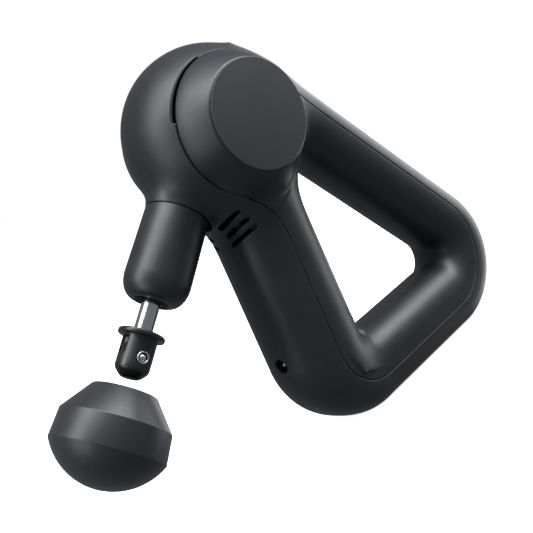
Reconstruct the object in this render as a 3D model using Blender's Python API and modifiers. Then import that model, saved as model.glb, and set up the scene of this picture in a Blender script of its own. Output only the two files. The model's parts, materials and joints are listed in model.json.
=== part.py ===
"""Percussive massage gun: a round head on a triangular loop handle, standing on its base limb.

Row frame, metres: +Z up, X along the base limb with the drive arm towards -X, Y across the width.
The origin is the middle of the flat land under the base limb. The shells are symmetric about Y = 0.
"""
import math

import bmesh
import bpy
from mathutils import Matrix, Vector

MM = 0.001
GAP = 0.3 * MM          # clearance between touching pieces
WALL = 2.3 * MM         # thickness of the moulded shells

# Head: a barrel turned about Y, with a side boss on each cover
HEAD_X = -40.5 * MM
HEAD_Z = 130.1 * MM
HEAD_R = 35.7 * MM      # barrel radius at the middle
SEAM_R = 28.1 * MM      # radius of the cover seam on the barrel
SEAM_Y = 20.3 * MM      # half-width of the barrel between the two cover seams
BOSS_R = 21.5 * MM      # rim radius of the flat side disc
HALF_WIDTH = 33.5 * MM  # half of the width over the side discs

# Arm: its axis leans down and forward, and passes a little above the head's centre
ARM_DROP = math.radians(38.2)
ARM_OFFSET = -4.5 * MM
ARM_R = 12.6 * MM
NECK_R = 12.2 * MM
NECK_END = 36.7 * MM    # where the neck stops and the sleeve starts, along the arm
SLEEVE_END = 71.8 * MM
FLANGE_AT = 83.6 * MM   # arm side face of the connector's flange, at mid stroke
SHAFT_R = 3.5 * MM
CONNECTOR_R = 6.4 * MM
STROKE = 16.0 * MM

# Loop handle: its centreline's corners, and half sizes of its limbs (in plane, across)
FRONT_TOP = (-37.3 * MM, 130.1 * MM)
FRONT_CORNER = (-48.0 * MM, 14.3 * MM)
REAR_CORNER = (67.9 * MM, 14.3 * MM)
UPPER_TOP = (-16.0 * MM, 138.6 * MM)
FRONT_BEND = 16.5 * MM
REAR_BEND = 20.2 * MM
LIMBS = {
    "front_top": (18.8 * MM, 19.3 * MM),
    "front": (19.8 * MM, 18.8 * MM),
    "base": (15.2 * MM, 16.8 * MM),
    "upper": (14.1 * MM, 16.4 * MM),
}
ROUNDNESS = 2.2         # exponent of the limbs' rounded section
LAND_ROUNDNESS = 3.0    # the same for the underside of the base, which is flatter

# Dampener, lifted off the connector along the arm
DAMPENER_TOP = (105.1 * MM, 11.8 * MM)
DAMPENER_SHOULDER = (115.7 * MM, 20.0 * MM)
DAMPENER_RIM = (124.2 * MM, 21.4 * MM)
DAMPENER_TIP = 140.0 * MM
SOCKET_R = 6.9 * MM
SOCKET_DEPTH = 23.0 * MM

# Drive: crank and connecting rod in the head
CRANK_R = STROKE / 2
ROD_LENGTH = 30.0 * MM
ROD_HALF = 2.4 * MM     # half thickness of the rod
CRANK_DISC = (3.4 * MM, 7.4 * MM)
FRAME_PLATE = (8.4 * MM, 10.9 * MM)
POST_RING = 18.2 * MM   # distance of the cover posts from the head's centre

PARTS = "massage_gun"
HELPERS = "cutters"


# ---------------------------------------------------------------- scene and materials

def clear_scene():
    for obj in list(bpy.data.objects):
        bpy.data.objects.remove(obj)


def make_collection(name):
    made = bpy.data.collections.new(name)
    bpy.context.scene.collection.children.link(made)
    return made


def material(name, colour, roughness, metallic=0.0):
    made = bpy.data.materials.new(name)
    made.use_nodes = True
    shader = made.node_tree.nodes["Principled BSDF"]
    shader.inputs["Base Color"].default_value = (*colour, 1.0)
    shader.inputs["Roughness"].default_value = roughness
    shader.inputs["Metallic"].default_value = metallic
    made.diffuse_color = (*colour, 1.0)
    return made


clear_scene()
parts = make_collection(PARTS)
helpers = make_collection(HELPERS)

FINISH = {
    "housing": material("housing", (0.030, 0.031, 0.034), 0.42),
    "cover": material("cover", (0.030, 0.031, 0.034), 0.42),
    "cap": material("cap", (0.024, 0.025, 0.027), 0.50),
    "sleeve": material("sleeve", (0.032, 0.033, 0.036), 0.38),
    "black": material("black", (0.015, 0.015, 0.016), 0.35),
    "rubber": material("rubber", (0.020, 0.020, 0.020), 0.80),
    "chrome": material("chrome", (0.80, 0.80, 0.82), 0.08, 1.0),
    "steel": material("steel", (0.56, 0.57, 0.58), 0.30, 1.0),
    "aluminium": material("aluminium", (0.72, 0.73, 0.75), 0.35, 1.0),
    "copper": material("copper", (0.72, 0.36, 0.16), 0.35, 1.0),
    "bronze": material("bronze", (0.62, 0.44, 0.22), 0.35, 1.0),
    "board": material("board", (0.02, 0.16, 0.07), 0.45),
    "foam": material("foam", (0.035, 0.035, 0.038), 0.60),
    "light": material("light", (0.85, 0.88, 0.90), 0.30),
    "wrap": material("wrap", (0.05, 0.12, 0.35), 0.35),
    "lead": material("lead", (0.45, 0.03, 0.03), 0.45),
}


# ---------------------------------------------------------------- frames

ARM = Vector((-math.cos(ARM_DROP), 0, -math.sin(ARM_DROP)))
DOWN = Vector((math.sin(ARM_DROP), 0, -math.cos(ARM_DROP)))   # square to the arm, towards the hand
ACROSS = Vector((0, 1, 0))
HEAD = Vector((HEAD_X, 0, HEAD_Z))
ARM_START = HEAD + ARM_OFFSET * DOWN


def frame(origin, z_axis, x_axis):
    """A matrix whose Z runs along z_axis and whose X lies towards x_axis."""
    z = Vector(z_axis).normalized()
    x = (Vector(x_axis) - Vector(x_axis).dot(z) * z).normalized()
    y = z.cross(x)
    rotation = Matrix((x, y, z)).transposed().to_4x4()
    return Matrix.Translation(origin) @ rotation


def on_arm(along=0.0, down=0.0, across=0.0):
    """Z along the arm, X across the width."""
    return frame(ARM_START + along * ARM + down * DOWN + across * ACROSS, ARM, ACROSS)


def on_head(along=0.0, down=0.0, across=0.0):
    """Z across the width, X along the arm, about the head's centre."""
    return frame(HEAD + along * ARM + down * DOWN + across * ACROSS, ACROSS, ARM)


def in_plane(x=0.0, y=0.0, z=0.0):
    """Z across the width, X along the base: for outlines drawn in the plane of the loop."""
    return frame((x, y, z), (0, -1, 0), (1, 0, 0))


# ---------------------------------------------------------------- shapes

def new_object(name, mesh, matrix, finish=None):
    """A part when it has a finish, otherwise a helper that only cuts or joins."""
    obj = bpy.data.objects.new(name, mesh)
    obj.matrix_world = matrix
    if finish:
        parts.objects.link(obj)
        mesh.materials.append(FINISH[finish])
    else:
        helpers.objects.link(obj)
        obj.hide_render = True
        obj.display_type = "WIRE"
    return obj


def baked(obj):
    """The object's mesh with its modifiers applied."""
    graph = bpy.context.evaluated_depsgraph_get()
    graph.update()
    return bpy.data.meshes.new_from_object(obj.evaluated_get(graph))


def welded(mesh):
    work = bmesh.new()
    work.from_mesh(mesh)
    bmesh.ops.remove_doubles(work, verts=work.verts, dist=0.01 * MM)
    bmesh.ops.dissolve_degenerate(work, edges=work.edges, dist=0.001 * MM)
    bmesh.ops.recalc_face_normals(work, faces=work.faces)
    work.to_mesh(mesh)
    work.free()
    return mesh


def turned(name, profile, matrix, finish=None, steps=32):
    """A profile of (radius, height) points turned about Z, top to bottom on its outer side.
    A profile that starts and ends off the axis is closed into a ring."""
    mesh = bpy.data.meshes.new(name)
    points = [(r, 0, z) for r, z in profile]
    edges = [(i, i + 1) for i in range(len(points) - 1)]
    if profile[0][0] > 0:
        edges.append((len(points) - 1, 0))
    mesh.from_pydata(points, edges, [])
    obj = new_object(name, mesh, matrix, finish)
    screw = obj.modifiers.new("turn", "SCREW")
    screw.steps = steps
    screw.render_steps = steps
    screw.use_merge_vertices = True
    screw.merge_threshold = 0.00001
    return obj


def rod(name, radius, low, high, matrix, finish=None, steps=24, edge=0.0):
    """A solid cylinder from low to high along Z, with chamfered ends."""
    profile = [(0, high), (radius - edge, high), (radius, high - edge)]
    profile += [(radius, low + edge), (radius - edge, low), (0, low)]
    if edge == 0:
        profile = [(0, high), (radius, high), (radius, low), (0, low)]
    return turned(name, profile, matrix, finish, steps)


def drill(name, radius, low, high, matrix, steps=12):
    """A cutting cylinder, turned a little so that its edges don't line up with the piece's own."""
    return rod(name, radius, low, high, matrix @ Matrix.Rotation(0.13, 4, "Z"), steps=steps)


def tube(name, inner, outer, low, high, matrix, finish=None, steps=24):
    profile = [(inner, high), (outer, high), (outer, low), (inner, low)]
    return turned(name, profile, matrix, finish, steps)


def block(name, size, matrix, finish=None, edge=0.0):
    """A box of the given size about the matrix's origin, with bevelled edges."""
    mesh = bpy.data.meshes.new(name)
    work = bmesh.new()
    bmesh.ops.create_cube(work, size=1.0)
    bmesh.ops.scale(work, vec=size, verts=work.verts)
    work.to_mesh(mesh)
    work.free()
    obj = new_object(name, mesh, matrix, finish)
    if edge:
        bevel = obj.modifiers.new("edge", "BEVEL")
        bevel.width = edge
        bevel.segments = 1
    return obj


def circle_points(radius, count=32, centre=(0, 0), start=0.0, sweep=2 * math.pi):
    """Points round a circle, or along an arc when the sweep is less than a turn."""
    full = abs(sweep) > 2 * math.pi - 0.001
    last = count if full else count - 1
    angles = [start + sweep * k / last for k in range(count)]
    return [(centre[0] + radius * math.cos(a), centre[1] + radius * math.sin(a)) for a in angles]


def plate(name, outlines, thickness, matrix, finish=None):
    """Flat outlines, the first one outside and the rest holes, given a thickness about Z = 0."""
    curve = bpy.data.curves.new(name + "_outline", "CURVE")
    curve.dimensions = "2D"
    curve.fill_mode = "BOTH"
    curve.extrude = thickness / 2
    for outline in outlines:
        spline = curve.splines.new("POLY")
        spline.points.add(len(outline) - 1)
        for point, (x, y) in zip(spline.points, outline):
            point.co = (x, y, 0, 1)
        spline.use_cyclic_u = True
    guide = bpy.data.objects.new(name + "_outline", curve)
    helpers.objects.link(guide)
    mesh = welded(baked(guide))
    mesh.name = name
    bpy.data.objects.remove(guide)
    return new_object(name, mesh, matrix, finish)


def cord(name, route, radius, finish, steps=4, sides=1):
    """A lead along a smooth curve through the route's points, with filled ends."""
    points = smooth_route(route, steps)
    curve = bpy.data.curves.new(name, "CURVE")
    curve.dimensions = "3D"
    curve.bevel_depth = radius
    curve.bevel_resolution = sides
    curve.use_fill_caps = True
    spline = curve.splines.new("POLY")
    spline.points.add(len(points) - 1)
    for point, place in zip(spline.points, points):
        point.co = (*place, 1)
    obj = bpy.data.objects.new(name, curve)
    curve.materials.append(FINISH[finish])
    parts.objects.link(obj)
    return obj


def smooth_route(route, steps):
    """Catmull-Rom points through a short list of route points."""
    knots = [Vector(p) for p in route]
    knots = [2 * knots[0] - knots[1]] + knots + [2 * knots[-1] - knots[-2]]
    points = []
    for k in range(1, len(knots) - 2):
        a, b, c, d = knots[k - 1:k + 3]
        for step in range(steps):
            t = step / steps
            point = 2 * b + t * (c - a) + t * t * (2 * a - 5 * b + 4 * c - d)
            point += t ** 3 * (3 * b - a - 3 * c + d)
            points.append(point / 2)
    points.append(knots[-2])
    return points


def boolean(obj, other, operation="DIFFERENCE", overlapping=False):
    step = obj.modifiers.new(operation.lower(), "BOOLEAN")
    step.object = other
    step.operation = operation
    step.use_self = overlapping
    return obj


def cut(obj, *cutters):
    for cutter in cutters:
        boolean(obj, cutter)
    return obj


def join(obj, *others):
    for other in others:
        boolean(obj, other, "UNION")
    return obj


# ---------------------------------------------------------------- outer form

def lerp(a, b, t):
    return a + (b - a) * t


def bend(before, corner, after, radius, count):
    """Points along the arc that rounds a corner, with their directions of travel."""
    u = (Vector(before) - Vector(corner)).normalized()
    v = (Vector(after) - Vector(corner)).normalized()
    half = math.acos(max(-1.0, min(1.0, u.dot(v)))) / 2
    centre = Vector(corner) + (u + v).normalized() * radius / math.sin(half)
    start = Vector(corner) + u * radius / math.tan(half)
    turn = math.pi - 2 * half
    side = 1 if (-u).x * v.y - (-u).y * v.x > 0 else -1
    arm = start - centre
    stations = []
    for k in range(count):
        spin = Matrix.Rotation(side * turn * k / (count - 1), 2)
        stations.append((centre + spin @ arm, spin @ -u))
    return stations


def centreline(detail):
    """Stations along the loop's centreline: (point, direction, half in plane, half across, outer exponent)."""
    top = Vector(FRONT_TOP)
    front = Vector(FRONT_CORNER)
    rear = Vector(REAR_CORNER)
    end = Vector(UPPER_TOP)
    down = (front - top).normalized()
    up = (end - rear).normalized()
    first = bend(top, front, rear, FRONT_BEND, 4 + 2 * detail)
    second = bend(front, rear, end, REAR_BEND, 5 + 2 * detail)
    front_top, front_size = LIMBS["front_top"], LIMBS["front"]
    base_size, upper_size = LIMBS["base"], LIMBS["upper"]
    base_middle = (first[-1][0] + second[0][0]) / 2

    def station(point, way, a, b, t, flat):
        sizes = [lerp(a[i], b[i], t) for i in range(2)]
        return (point, way, sizes[0], sizes[1], lerp(ROUNDNESS, LAND_ROUNDNESS, flat))

    buried = (9 * MM, 12 * MM)
    line = [station(top + 6 * MM * down, down, buried, buried, 0, 0)]
    run = first[0][0] - top
    for t in (0.16, 0.36, 0.57, 0.78):
        line.append(station(top + run * t, down, front_top, front_size, t, 0))
    for k, (point, way) in enumerate(first):
        t = k / (len(first) - 1)
        line.append(station(point, way, front_size, base_size, t, t))
    line.append(station(base_middle, first[-1][1], base_size, base_size, 0, 1))
    for k, (point, way) in enumerate(second):
        t = k / (len(second) - 1)
        line.append(station(point, way, base_size, upper_size, t, 1 - t))
    climb = end - second[-1][0]
    for t in (0.33, 0.67, 0.95):
        line.append(station(second[-1][0] + climb * t, up, upper_size, upper_size, 0, 0))
    for reach, share in ((1 * MM, 0.93), (7 * MM, 0.78), (13 * MM, 0.58)):
        size = (upper_size[0] * share, upper_size[1] * share)
        line.append(station(end + up * reach, up, size, size, 0, 0))
    return line


def limb_ring(station, inset, count):
    """A rounded section across a limb: its outer half may be flatter than its inner half."""
    point, way, half_in, half_across, flat = station
    outward = Vector((way.y, -way.x))
    ring = []
    for k in range(count):
        angle = 2 * math.pi * k / count
        c, s = math.cos(angle), math.sin(angle)
        power = flat if c > 0 else ROUNDNESS
        n = (half_in - inset) * math.copysign(abs(c) ** (2 / power), c)
        y = (half_across - inset) * math.copysign(abs(s) ** (2 / power), s)
        place = point + outward * n
        ring.append((place.x, y, place.y))
    return ring


def loft(name, rings, matrix=Matrix.Identity(4), finish=None):
    """A closed skin through rings of equal counts, capped at both ends."""
    count = len(rings[0])
    points = [p for ring in rings for p in ring]
    faces = []
    for i in range(len(rings) - 1):
        for k in range(count):
            a, b = i * count + k, i * count + (k + 1) % count
            faces.append((a, b, b + count, a + count))
    faces.append(tuple(range(count)))
    faces.append(tuple(range((len(rings) - 1) * count, len(rings) * count)))
    mesh = bpy.data.meshes.new(name)
    mesh.from_pydata(points, [], faces)
    return new_object(name, welded(mesh), matrix, finish)


def barrel_radius(y):
    """Radius of the head's middle band at a distance y from the middle plane."""
    return SEAM_R + (HEAD_R - SEAM_R) * (1 - (abs(y) / SEAM_Y) ** ROUNDNESS)


def head_profile(inset, bands, floor):
    """Half profile of the head, from the flat side disc at the top to the middle plane."""
    side = [(0, floor), (BOSS_R - inset, floor)]
    for k in range(1, bands):
        rise = 1 - k / bands
        radius = SEAM_R + 0.2 * MM - (SEAM_R + 0.2 * MM - BOSS_R) * rise ** 1.35 - inset
        side.append((radius, SEAM_Y + (floor - SEAM_Y) * rise))
    for k in range(bands + 1):
        y = SEAM_Y * (1 - k / bands)
        side.append((barrel_radius(y) - inset, y))
    return side


def head_form(name, inset, bands, steps, floor):
    upper = head_profile(inset, bands, floor)
    lower = [(r, -y) for r, y in reversed(upper[:-1])]
    return turned(name, upper + lower, on_head(), steps=steps)


def neck_form(name, radius, flare, end, steps):
    """The arm's neck: a cylinder that flares into the head."""
    profile = [(0, end), (radius, end)]
    for k in range(5):
        angle = math.pi / 2 * k / 4
        profile.append((radius + flare * (1 - math.cos(angle)), end - 3 * MM - flare * math.sin(angle)))
    profile += [(radius + flare, 14 * MM), (0, 14 * MM)]
    return turned(name, profile, on_arm(), steps=steps)


def outer_form(name, inset, detail):
    """The head, the loop and the neck as one solid, pulled in by the inset."""
    floor = HALF_WIDTH - inset
    if inset > WALL / 2:
        floor = HALF_WIDTH - 4.2 * MM
    base = head_form(name + "_head", inset, 2 + detail, 12 + 12 * detail, floor)
    rings = [limb_ring(s, inset, 8 + 6 * detail) for s in centreline(detail)]
    loop = loft(name + "_loop", rings)
    neck = neck_form(name + "_neck", NECK_R - inset, 6 * MM, NECK_END + inset, 20)
    boolean(base, loop, "UNION", overlapping=True)
    boolean(base, neck, "UNION")
    mesh = welded(baked(base))
    mesh.name = name
    return new_object(name, mesh, base.matrix_world)


def land_cutter():
    """Everything below the flat land under the base limb."""
    return block("below_land", (0.4, 0.2, 0.02), Matrix.Translation((0, 0, -0.01)))


# ---------------------------------------------------------------- seam between housing and covers

def offset_run(start, end, distance):
    """Two points beside a straight run, moved outward from the loop."""
    way = (Vector(end) - Vector(start)).normalized()
    outward = Vector((way.y, -way.x))
    return Vector(start) + outward * distance, Vector(end) + outward * distance


def cross_point(a, b, c, d):
    """Where the line through a and b meets the line through c and d."""
    r, s = b - a, d - c
    t = ((c - a).x * s.y - (c - a).y * s.x) / (r.x * s.y - r.y * s.x)
    return a + r * t


FRONT_SEAM = 3.6 * MM   # how far the seam lies outside each limb's centreline
BASE_SEAM = 4.0 * MM
UPPER_SEAM = 5.0 * MM


def seam_outline(grow):
    """The covers' outline in the plane of the loop: the head's seam circle, then an S into the
    front limb, round the two lower corners, and up the upper limb back to the head."""
    front = offset_run(FRONT_TOP, FRONT_CORNER, FRONT_SEAM + grow)
    base = offset_run(FRONT_CORNER, REAR_CORNER, BASE_SEAM + grow)
    upper = offset_run(REAR_CORNER, UPPER_TOP, UPPER_SEAM + grow)
    low = cross_point(*front, *base)
    back = cross_point(*base, *upper)
    centre = Vector((HEAD_X, HEAD_Z))
    radius = SEAM_R + grow
    leave = math.radians(229)
    points = []
    # round the head, anticlockwise from the upper limb to where the S starts
    meet = math.radians(38)
    sweep = leave - meet
    for k in range(27):
        angle = meet + sweep * k / 26
        points.append(centre + radius * Vector((math.cos(angle), math.sin(angle))))
    # the S: it leaves the circle along its tangent and joins the front limb's line
    way = (front[1] - front[0]).normalized()
    join_at = front[0] + way * 44 * MM
    tangent = Vector((-math.sin(leave), math.cos(leave)))
    a, b = points[-1], join_at
    for k in range(1, 8):
        t = k / 7
        pull_a = a + tangent * 17 * MM
        pull_b = b - way * 16 * MM
        point = (1 - t) ** 3 * a + 3 * (1 - t) ** 2 * t * pull_a + 3 * (1 - t) * t * t * pull_b + t ** 3 * b
        points.append(point)
    for before, corner, after, size in ((b, low, back, 20 * MM), (low, back, upper[1], 26 * MM)):
        points += [p for p, _ in bend(before, corner, after, size + grow, 6)]
    points.append(back + (upper[1] - back) * 0.88)
    return [(p.x, p.y) for p in points]


def seam_prism(name, grow):
    """The seam outline carried across the whole width."""
    return plate(name, [seam_outline(grow)], 0.1, in_plane())


# ---------------------------------------------------------------- shells

def post_places():
    """Where the three posts of each cover stand, as (along, down) from the head's centre."""
    angles = (math.radians(75), math.radians(180), math.radians(-75))
    return [(POST_RING * math.cos(a), POST_RING * math.sin(a)) for a in angles]


def limb_frame(start, end, along, outward_by, across=0.0):
    """Z points out of the loop, X runs along the limb, at a distance along it from its start."""
    way = (Vector(end) - Vector(start)).normalized()
    outward = Vector((way.y, -way.x))
    place = Vector(start) + way * along + outward * outward_by
    return frame((place.x, across, place.y), (outward.x, 0, outward.y), (way.x, 0, way.y))


VENT_SLOTS = (31.5 * MM, 35.4 * MM, 39.3 * MM)   # distances down the front limb
VENT_WIDTH = 1.7 * MM
VENT_INNER = 3.4 * MM
VENT_OUTER = 15.0 * MM
VENT_SLANT = math.radians(19)


def vent_cutters():
    """Three slots on each side of the front limb, under the arm."""
    made = []
    for k, along in enumerate(VENT_SLOTS):
        for side in (-1, 1):
            middle = side * (VENT_INNER + VENT_OUTER) / 2
            place = limb_frame(FRONT_TOP, FRONT_CORNER, along, 24 * MM, middle)
            place = place @ Matrix.Rotation(side * VENT_SLANT, 4, "Z")
            size = (VENT_WIDTH, VENT_OUTER - VENT_INNER, 30 * MM)
            made.append(block(f"vent_cutter_{k}_{side + 1}", size, place))
    return made


def arc_slot_cutters():
    """A slot beside each cover seam, over the front of the head."""
    made = []
    for side in (-1, 1):
        start, end = math.radians(96), math.radians(156)
        outer = circle_points(SEAM_R + 1.6 * MM, 14, start=start, sweep=end - start)
        inner = circle_points(SEAM_R - 3 * MM, 14, start=end, sweep=start - end)
        place = in_plane(HEAD_X, side * 21 * MM, HEAD_Z)
        made.append(plate(f"arc_cutter_{side + 1}", [outer + inner], 8 * MM, place))
    return made


PORT_ALONG = 94.0 * MM
PORT_ACROSS = -2.0 * MM
PORT_R = 3.1 * MM


def port_frame(depth=0.0):
    """On the front limb's outer face, Z pointing out of the port."""
    return limb_frame(FRONT_TOP, FRONT_CORNER, PORT_ALONG, LIMBS["front"][0] - depth, PORT_ACROSS)


PANEL_ALONG = 12.0 * MM    # from the top of the upper limb to the panel's middle
PANEL_LENGTH = 23.0 * MM
PANEL_RAISE = 1.5 * MM
PANEL_WIDTH = 17.0 * MM


def panel_frame(along=0.0, across=0.0, depth=0.0):
    """On the upper limb's outer face behind the head, Z pointing out."""
    place = PANEL_ALONG + along
    return limb_frame(UPPER_TOP, REAR_CORNER, place, -(LIMBS["upper"][0] - depth), across) @ FLIP


FLIP = Matrix.Rotation(math.pi, 4, "X")


def cavity_posts(side):
    """Screw posts that stand inside a cover, from the frame's posts to the boss floor."""
    made = []
    reach = (12.2 * MM, 30.6 * MM) if side > 0 else (-30.6 * MM, -13.9 * MM)
    for k, (along, down) in enumerate(post_places()):
        made.append(rod(f"cover_post_{side + 1}_{k}", 3.0 * MM, *reach, on_head(along, down), steps=12))
    return made


def screw_bores(side):
    """Stepped bores for the cover screws and their heads."""
    made = []
    for k, (along, down) in enumerate(post_places()):
        profile = [(0, 40 * MM), (2.5 * MM, 40 * MM), (2.5 * MM, 29.6 * MM), (1.5 * MM, 29.6 * MM)]
        profile += [(1.5 * MM, 11 * MM), (0, 11 * MM)]
        place = on_head(along, down) @ (Matrix.Identity(4) if side > 0 else FLIP)
        made.append(turned(f"screw_bore_{side + 1}_{k}", profile, place @ Matrix.Rotation(0.13, 4, "Z"), steps=12))
    return made


def cap_recess(side):
    low, high = sorted((side * 31.6 * MM, side * 40 * MM))
    return rod(f"cap_recess_{side + 1}", BOSS_R - 0.2 * MM, low, high, on_head(), steps=36)


def shells(outer, inner):
    """The centre housing and the two side covers, cut from one hollow form along the seam."""
    land = land_cutter()
    within = seam_prism("seam_within", -GAP / 2)
    beyond = seam_prism("seam_beyond", GAP / 2)
    housing = new_object("centre_housing", outer.data.copy(), outer.matrix_world, "housing")
    cut(housing, inner, land, beyond)
    bore = rod("neck_bore", 9.9 * MM, 10 * MM, 60 * MM, on_arm(), steps=24)
    cut(housing, bore)
    cut(housing, *vent_cutters())
    cut(housing, *arc_slot_cutters())
    cut(housing, rod("port_cutter", PORT_R, -15 * MM, 10 * MM, port_frame(), steps=20))
    cut(housing, block("panel_window", (PANEL_LENGTH, PANEL_WIDTH, 20 * MM), panel_frame()))
    covers = {}
    for side, name in ((-1, "right_side_cover"), (1, "left_side_cover")):
        cover = new_object(name, outer.data.copy(), outer.matrix_world, "cover")
        half = block(name + "_half", (0.4, 0.1, 0.4), Matrix.Translation((0, side * (0.05 + GAP / 2), 0.1)))
        boolean(cover, within, "INTERSECT")
        boolean(cover, half, "INTERSECT")
        cut(cover, inner, land)
        join(cover, *cavity_posts(side))
        cut(cover, cap_recess(side), *screw_bores(side))
        covers[side] = cover
    return housing, covers


def end_caps():
    """The flat discs in the covers' side bosses, with a turned down rim."""
    for side, name in ((-1, "right_end_cap"), (1, "left_end_cap")):
        face = HALF_WIDTH
        radius = BOSS_R - 0.5 * MM
        profile = [(0, face), (radius - 0.5 * MM, face), (radius, face - 0.4 * MM)]
        profile += [(radius, 31.9 * MM), (0, 31.9 * MM)]
        place = on_head() @ (Matrix.Identity(4) if side > 0 else FLIP)
        turned(name, profile, place, "cap", 36)


def cover_screws():
    """Three screws behind each end cap, which hold the covers to the drive frame."""
    for side, word in ((-1, "right"), (1, "left")):
        for k, (along, down) in enumerate(post_places()):
            tip = 8.8 * MM if side > 0 else 9.6 * MM
            profile = [(0, 31.2 * MM), (1.7 * MM, 31.2 * MM), (2.2 * MM, 30.6 * MM), (2.2 * MM, 29.9 * MM)]
            profile += [(1.2 * MM, 29.9 * MM), (1.2 * MM, tip), (0, tip)]
            place = on_head(along, down) @ (Matrix.Identity(4) if side > 0 else FLIP)
            turned(f"{word}_cover_screw_{k + 1}", profile, place, "steel", 8)


# ---------------------------------------------------------------- arm

def arm_sleeve():
    """The cylinder that guides the shaft: rounded end, funnel mouth, and a spigot in the neck."""
    end = SLEEVE_END
    round_r = 8 * MM
    profile = [(4.9 * MM, end - 3.6 * MM), (6.6 * MM, end - 0.2 * MM)]
    profile += [(7.2 * MM, end)]
    for k in range(1, 5):
        angle = math.pi / 2 * k / 4
        radius = ARM_R + 0.1 * MM - round_r * 0.68 * (1 - math.sin(angle))
        profile.append((radius, end - round_r * (1 - math.cos(angle))))
    profile += [(ARM_R - 0.2 * MM, NECK_END + GAP), (9.6 * MM, NECK_END + GAP)]
    profile += [(9.6 * MM, 28 * MM), (8.4 * MM, 28 * MM), (8.4 * MM, end - 6.5 * MM), (4.9 * MM, end - 6.5 * MM)]
    turned("arm_sleeve", profile, on_arm(), "sleeve", 28)


def arm_bearings():
    """Two bronze bushings and the wiper seal, in the sleeve's bore."""
    bore = 8.1 * MM
    running = SHAFT_R + 0.3 * MM
    tube("inner_shaft_bushing", running, bore, 47 * MM, 53 * MM, on_arm(), "bronze", 16)
    tube("outer_shaft_bushing", running, bore, 57 * MM, 62.5 * MM, on_arm(), "bronze", 16)
    tube("shaft_wiper_seal", running, 4.6 * MM, SLEEVE_END - 6.3 * MM, SLEEVE_END - 4.2 * MM, on_arm(), "rubber", 16)


def crank_pin_down():
    """The crank pin's place below the head's centre at mid stroke."""
    return -CRANK_R


def wrist_along():
    return math.sqrt(ROD_LENGTH ** 2 - (crank_pin_down() - ARM_OFFSET) ** 2)


def percussion_shaft():
    """The reciprocating shaft, with a fork for the rod's small end."""
    wrist = wrist_along()
    fork_r = 5.8 * MM
    profile = [(0, FLANGE_AT + 6.5 * MM), (SHAFT_R - 0.5 * MM, FLANGE_AT + 6.5 * MM)]
    profile += [(SHAFT_R, FLANGE_AT + 6.0 * MM), (SHAFT_R, wrist + 8.5 * MM)]
    profile += [(fork_r, wrist + 6.5 * MM), (fork_r, wrist - 4 * MM), (0, wrist - 4 * MM)]
    shaft = turned("percussion_shaft", profile, on_arm(), "chrome", 20)
    slot = block("fork_slot", (2 * (ROD_HALF + GAP), 20 * MM, 10 * MM), on_arm(wrist - 0.5 * MM))
    hole = drill("wrist_hole", 1.8 * MM, -10 * MM, 10 * MM, wrist_frame(), steps=16)
    cross = drill("cross_pin_hole", 1.3 * MM, -10 * MM, 10 * MM, cross_pin_frame())
    cut(shaft, slot, hole, cross)
    rod("wrist_pin", 1.5 * MM, -5.2 * MM, 5.2 * MM, wrist_frame(), "steel", 16)


def wrist_frame():
    return frame(ARM_START + wrist_along() * ARM, ACROSS, ARM)


CROSS_PIN_AT = 4.2 * MM     # behind the flange, along the connector
BALL_AT = 9.5 * MM


def cross_pin_frame():
    return frame(ARM_START + (FLANGE_AT + CROSS_PIN_AT) * ARM, DOWN, ACROSS)


def ball_frame():
    """Z points out of the connector's side, towards -Y."""
    return frame(ARM_START + (FLANGE_AT + BALL_AT) * ARM, -ACROSS, ARM)


def attachment_connector():
    """Flange and barrel on the shaft's end, with a chamfered nose and two flats."""
    tip = FLANGE_AT + 17.0 * MM
    radius = CONNECTOR_R
    profile = [(0, tip), (2.2 * MM, tip - 0.1 * MM), (3.8 * MM, tip - 0.6 * MM), (radius, tip - 3.0 * MM)]
    profile += [(radius, FLANGE_AT + 2.2 * MM), (8.3 * MM, FLANGE_AT + 1.7 * MM), (8.7 * MM, FLANGE_AT + 1.0 * MM)]
    profile += [(8.3 * MM, FLANGE_AT + 0.3 * MM), (7.6 * MM, FLANGE_AT), (0, FLANGE_AT)]
    body = turned("attachment_connector", profile, on_arm(), "black", 24)
    for side in (-1, 1):
        place = on_arm(FLANGE_AT + 5.6 * MM, side * (radius + 1.9 * MM))
        cut(body, block(f"flat_{side + 1}", (7 * MM, 5 * MM, 6 * MM), place))
    bore = drill("shaft_socket", SHAFT_R + GAP, FLANGE_AT - 5 * MM, FLANGE_AT + 6.8 * MM, on_arm(), steps=20)
    cross = drill("cross_hole", 1.3 * MM, -10 * MM, 10 * MM, cross_pin_frame())
    pocket = drill("ball_pocket", 2.6 * MM, -3.4 * MM, 10 * MM, ball_frame(), steps=16)
    cut(body, bore, cross, pocket)
    rod("connector_cross_pin", 1.1 * MM, -5.2 * MM, 5.2 * MM, cross_pin_frame(), "steel", 12)


def detent():
    """A sprung ball in a chrome ring, which clicks into the attachment's groove."""
    place = ball_frame()
    ring = [(1.75 * MM, CONNECTOR_R + 0.1 * MM), (2.3 * MM, CONNECTOR_R)]
    ring += [(2.3 * MM, CONNECTOR_R - 3.2 * MM), (1.75 * MM, CONNECTOR_R - 3.2 * MM)]
    turned("detent_ring", ring, place, "chrome", 20)
    ball = bpy.data.meshes.new("detent_ball")
    work = bmesh.new()
    bmesh.ops.create_uvsphere(work, u_segments=16, v_segments=10, radius=1.45 * MM)
    work.to_mesh(ball)
    work.free()
    centre = place @ Matrix.Translation((0, 0, CONNECTOR_R - 1.05 * MM))
    new_object("detent_ball", ball, centre, "chrome")
    turns = [(0.9 * MM * math.cos(a), 0.9 * MM * math.sin(a), h) for a, h in detent_coil()]
    cord("detent_spring", [place @ Vector(p) for p in turns], 0.18 * MM, "steel", steps=1, sides=0)


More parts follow.
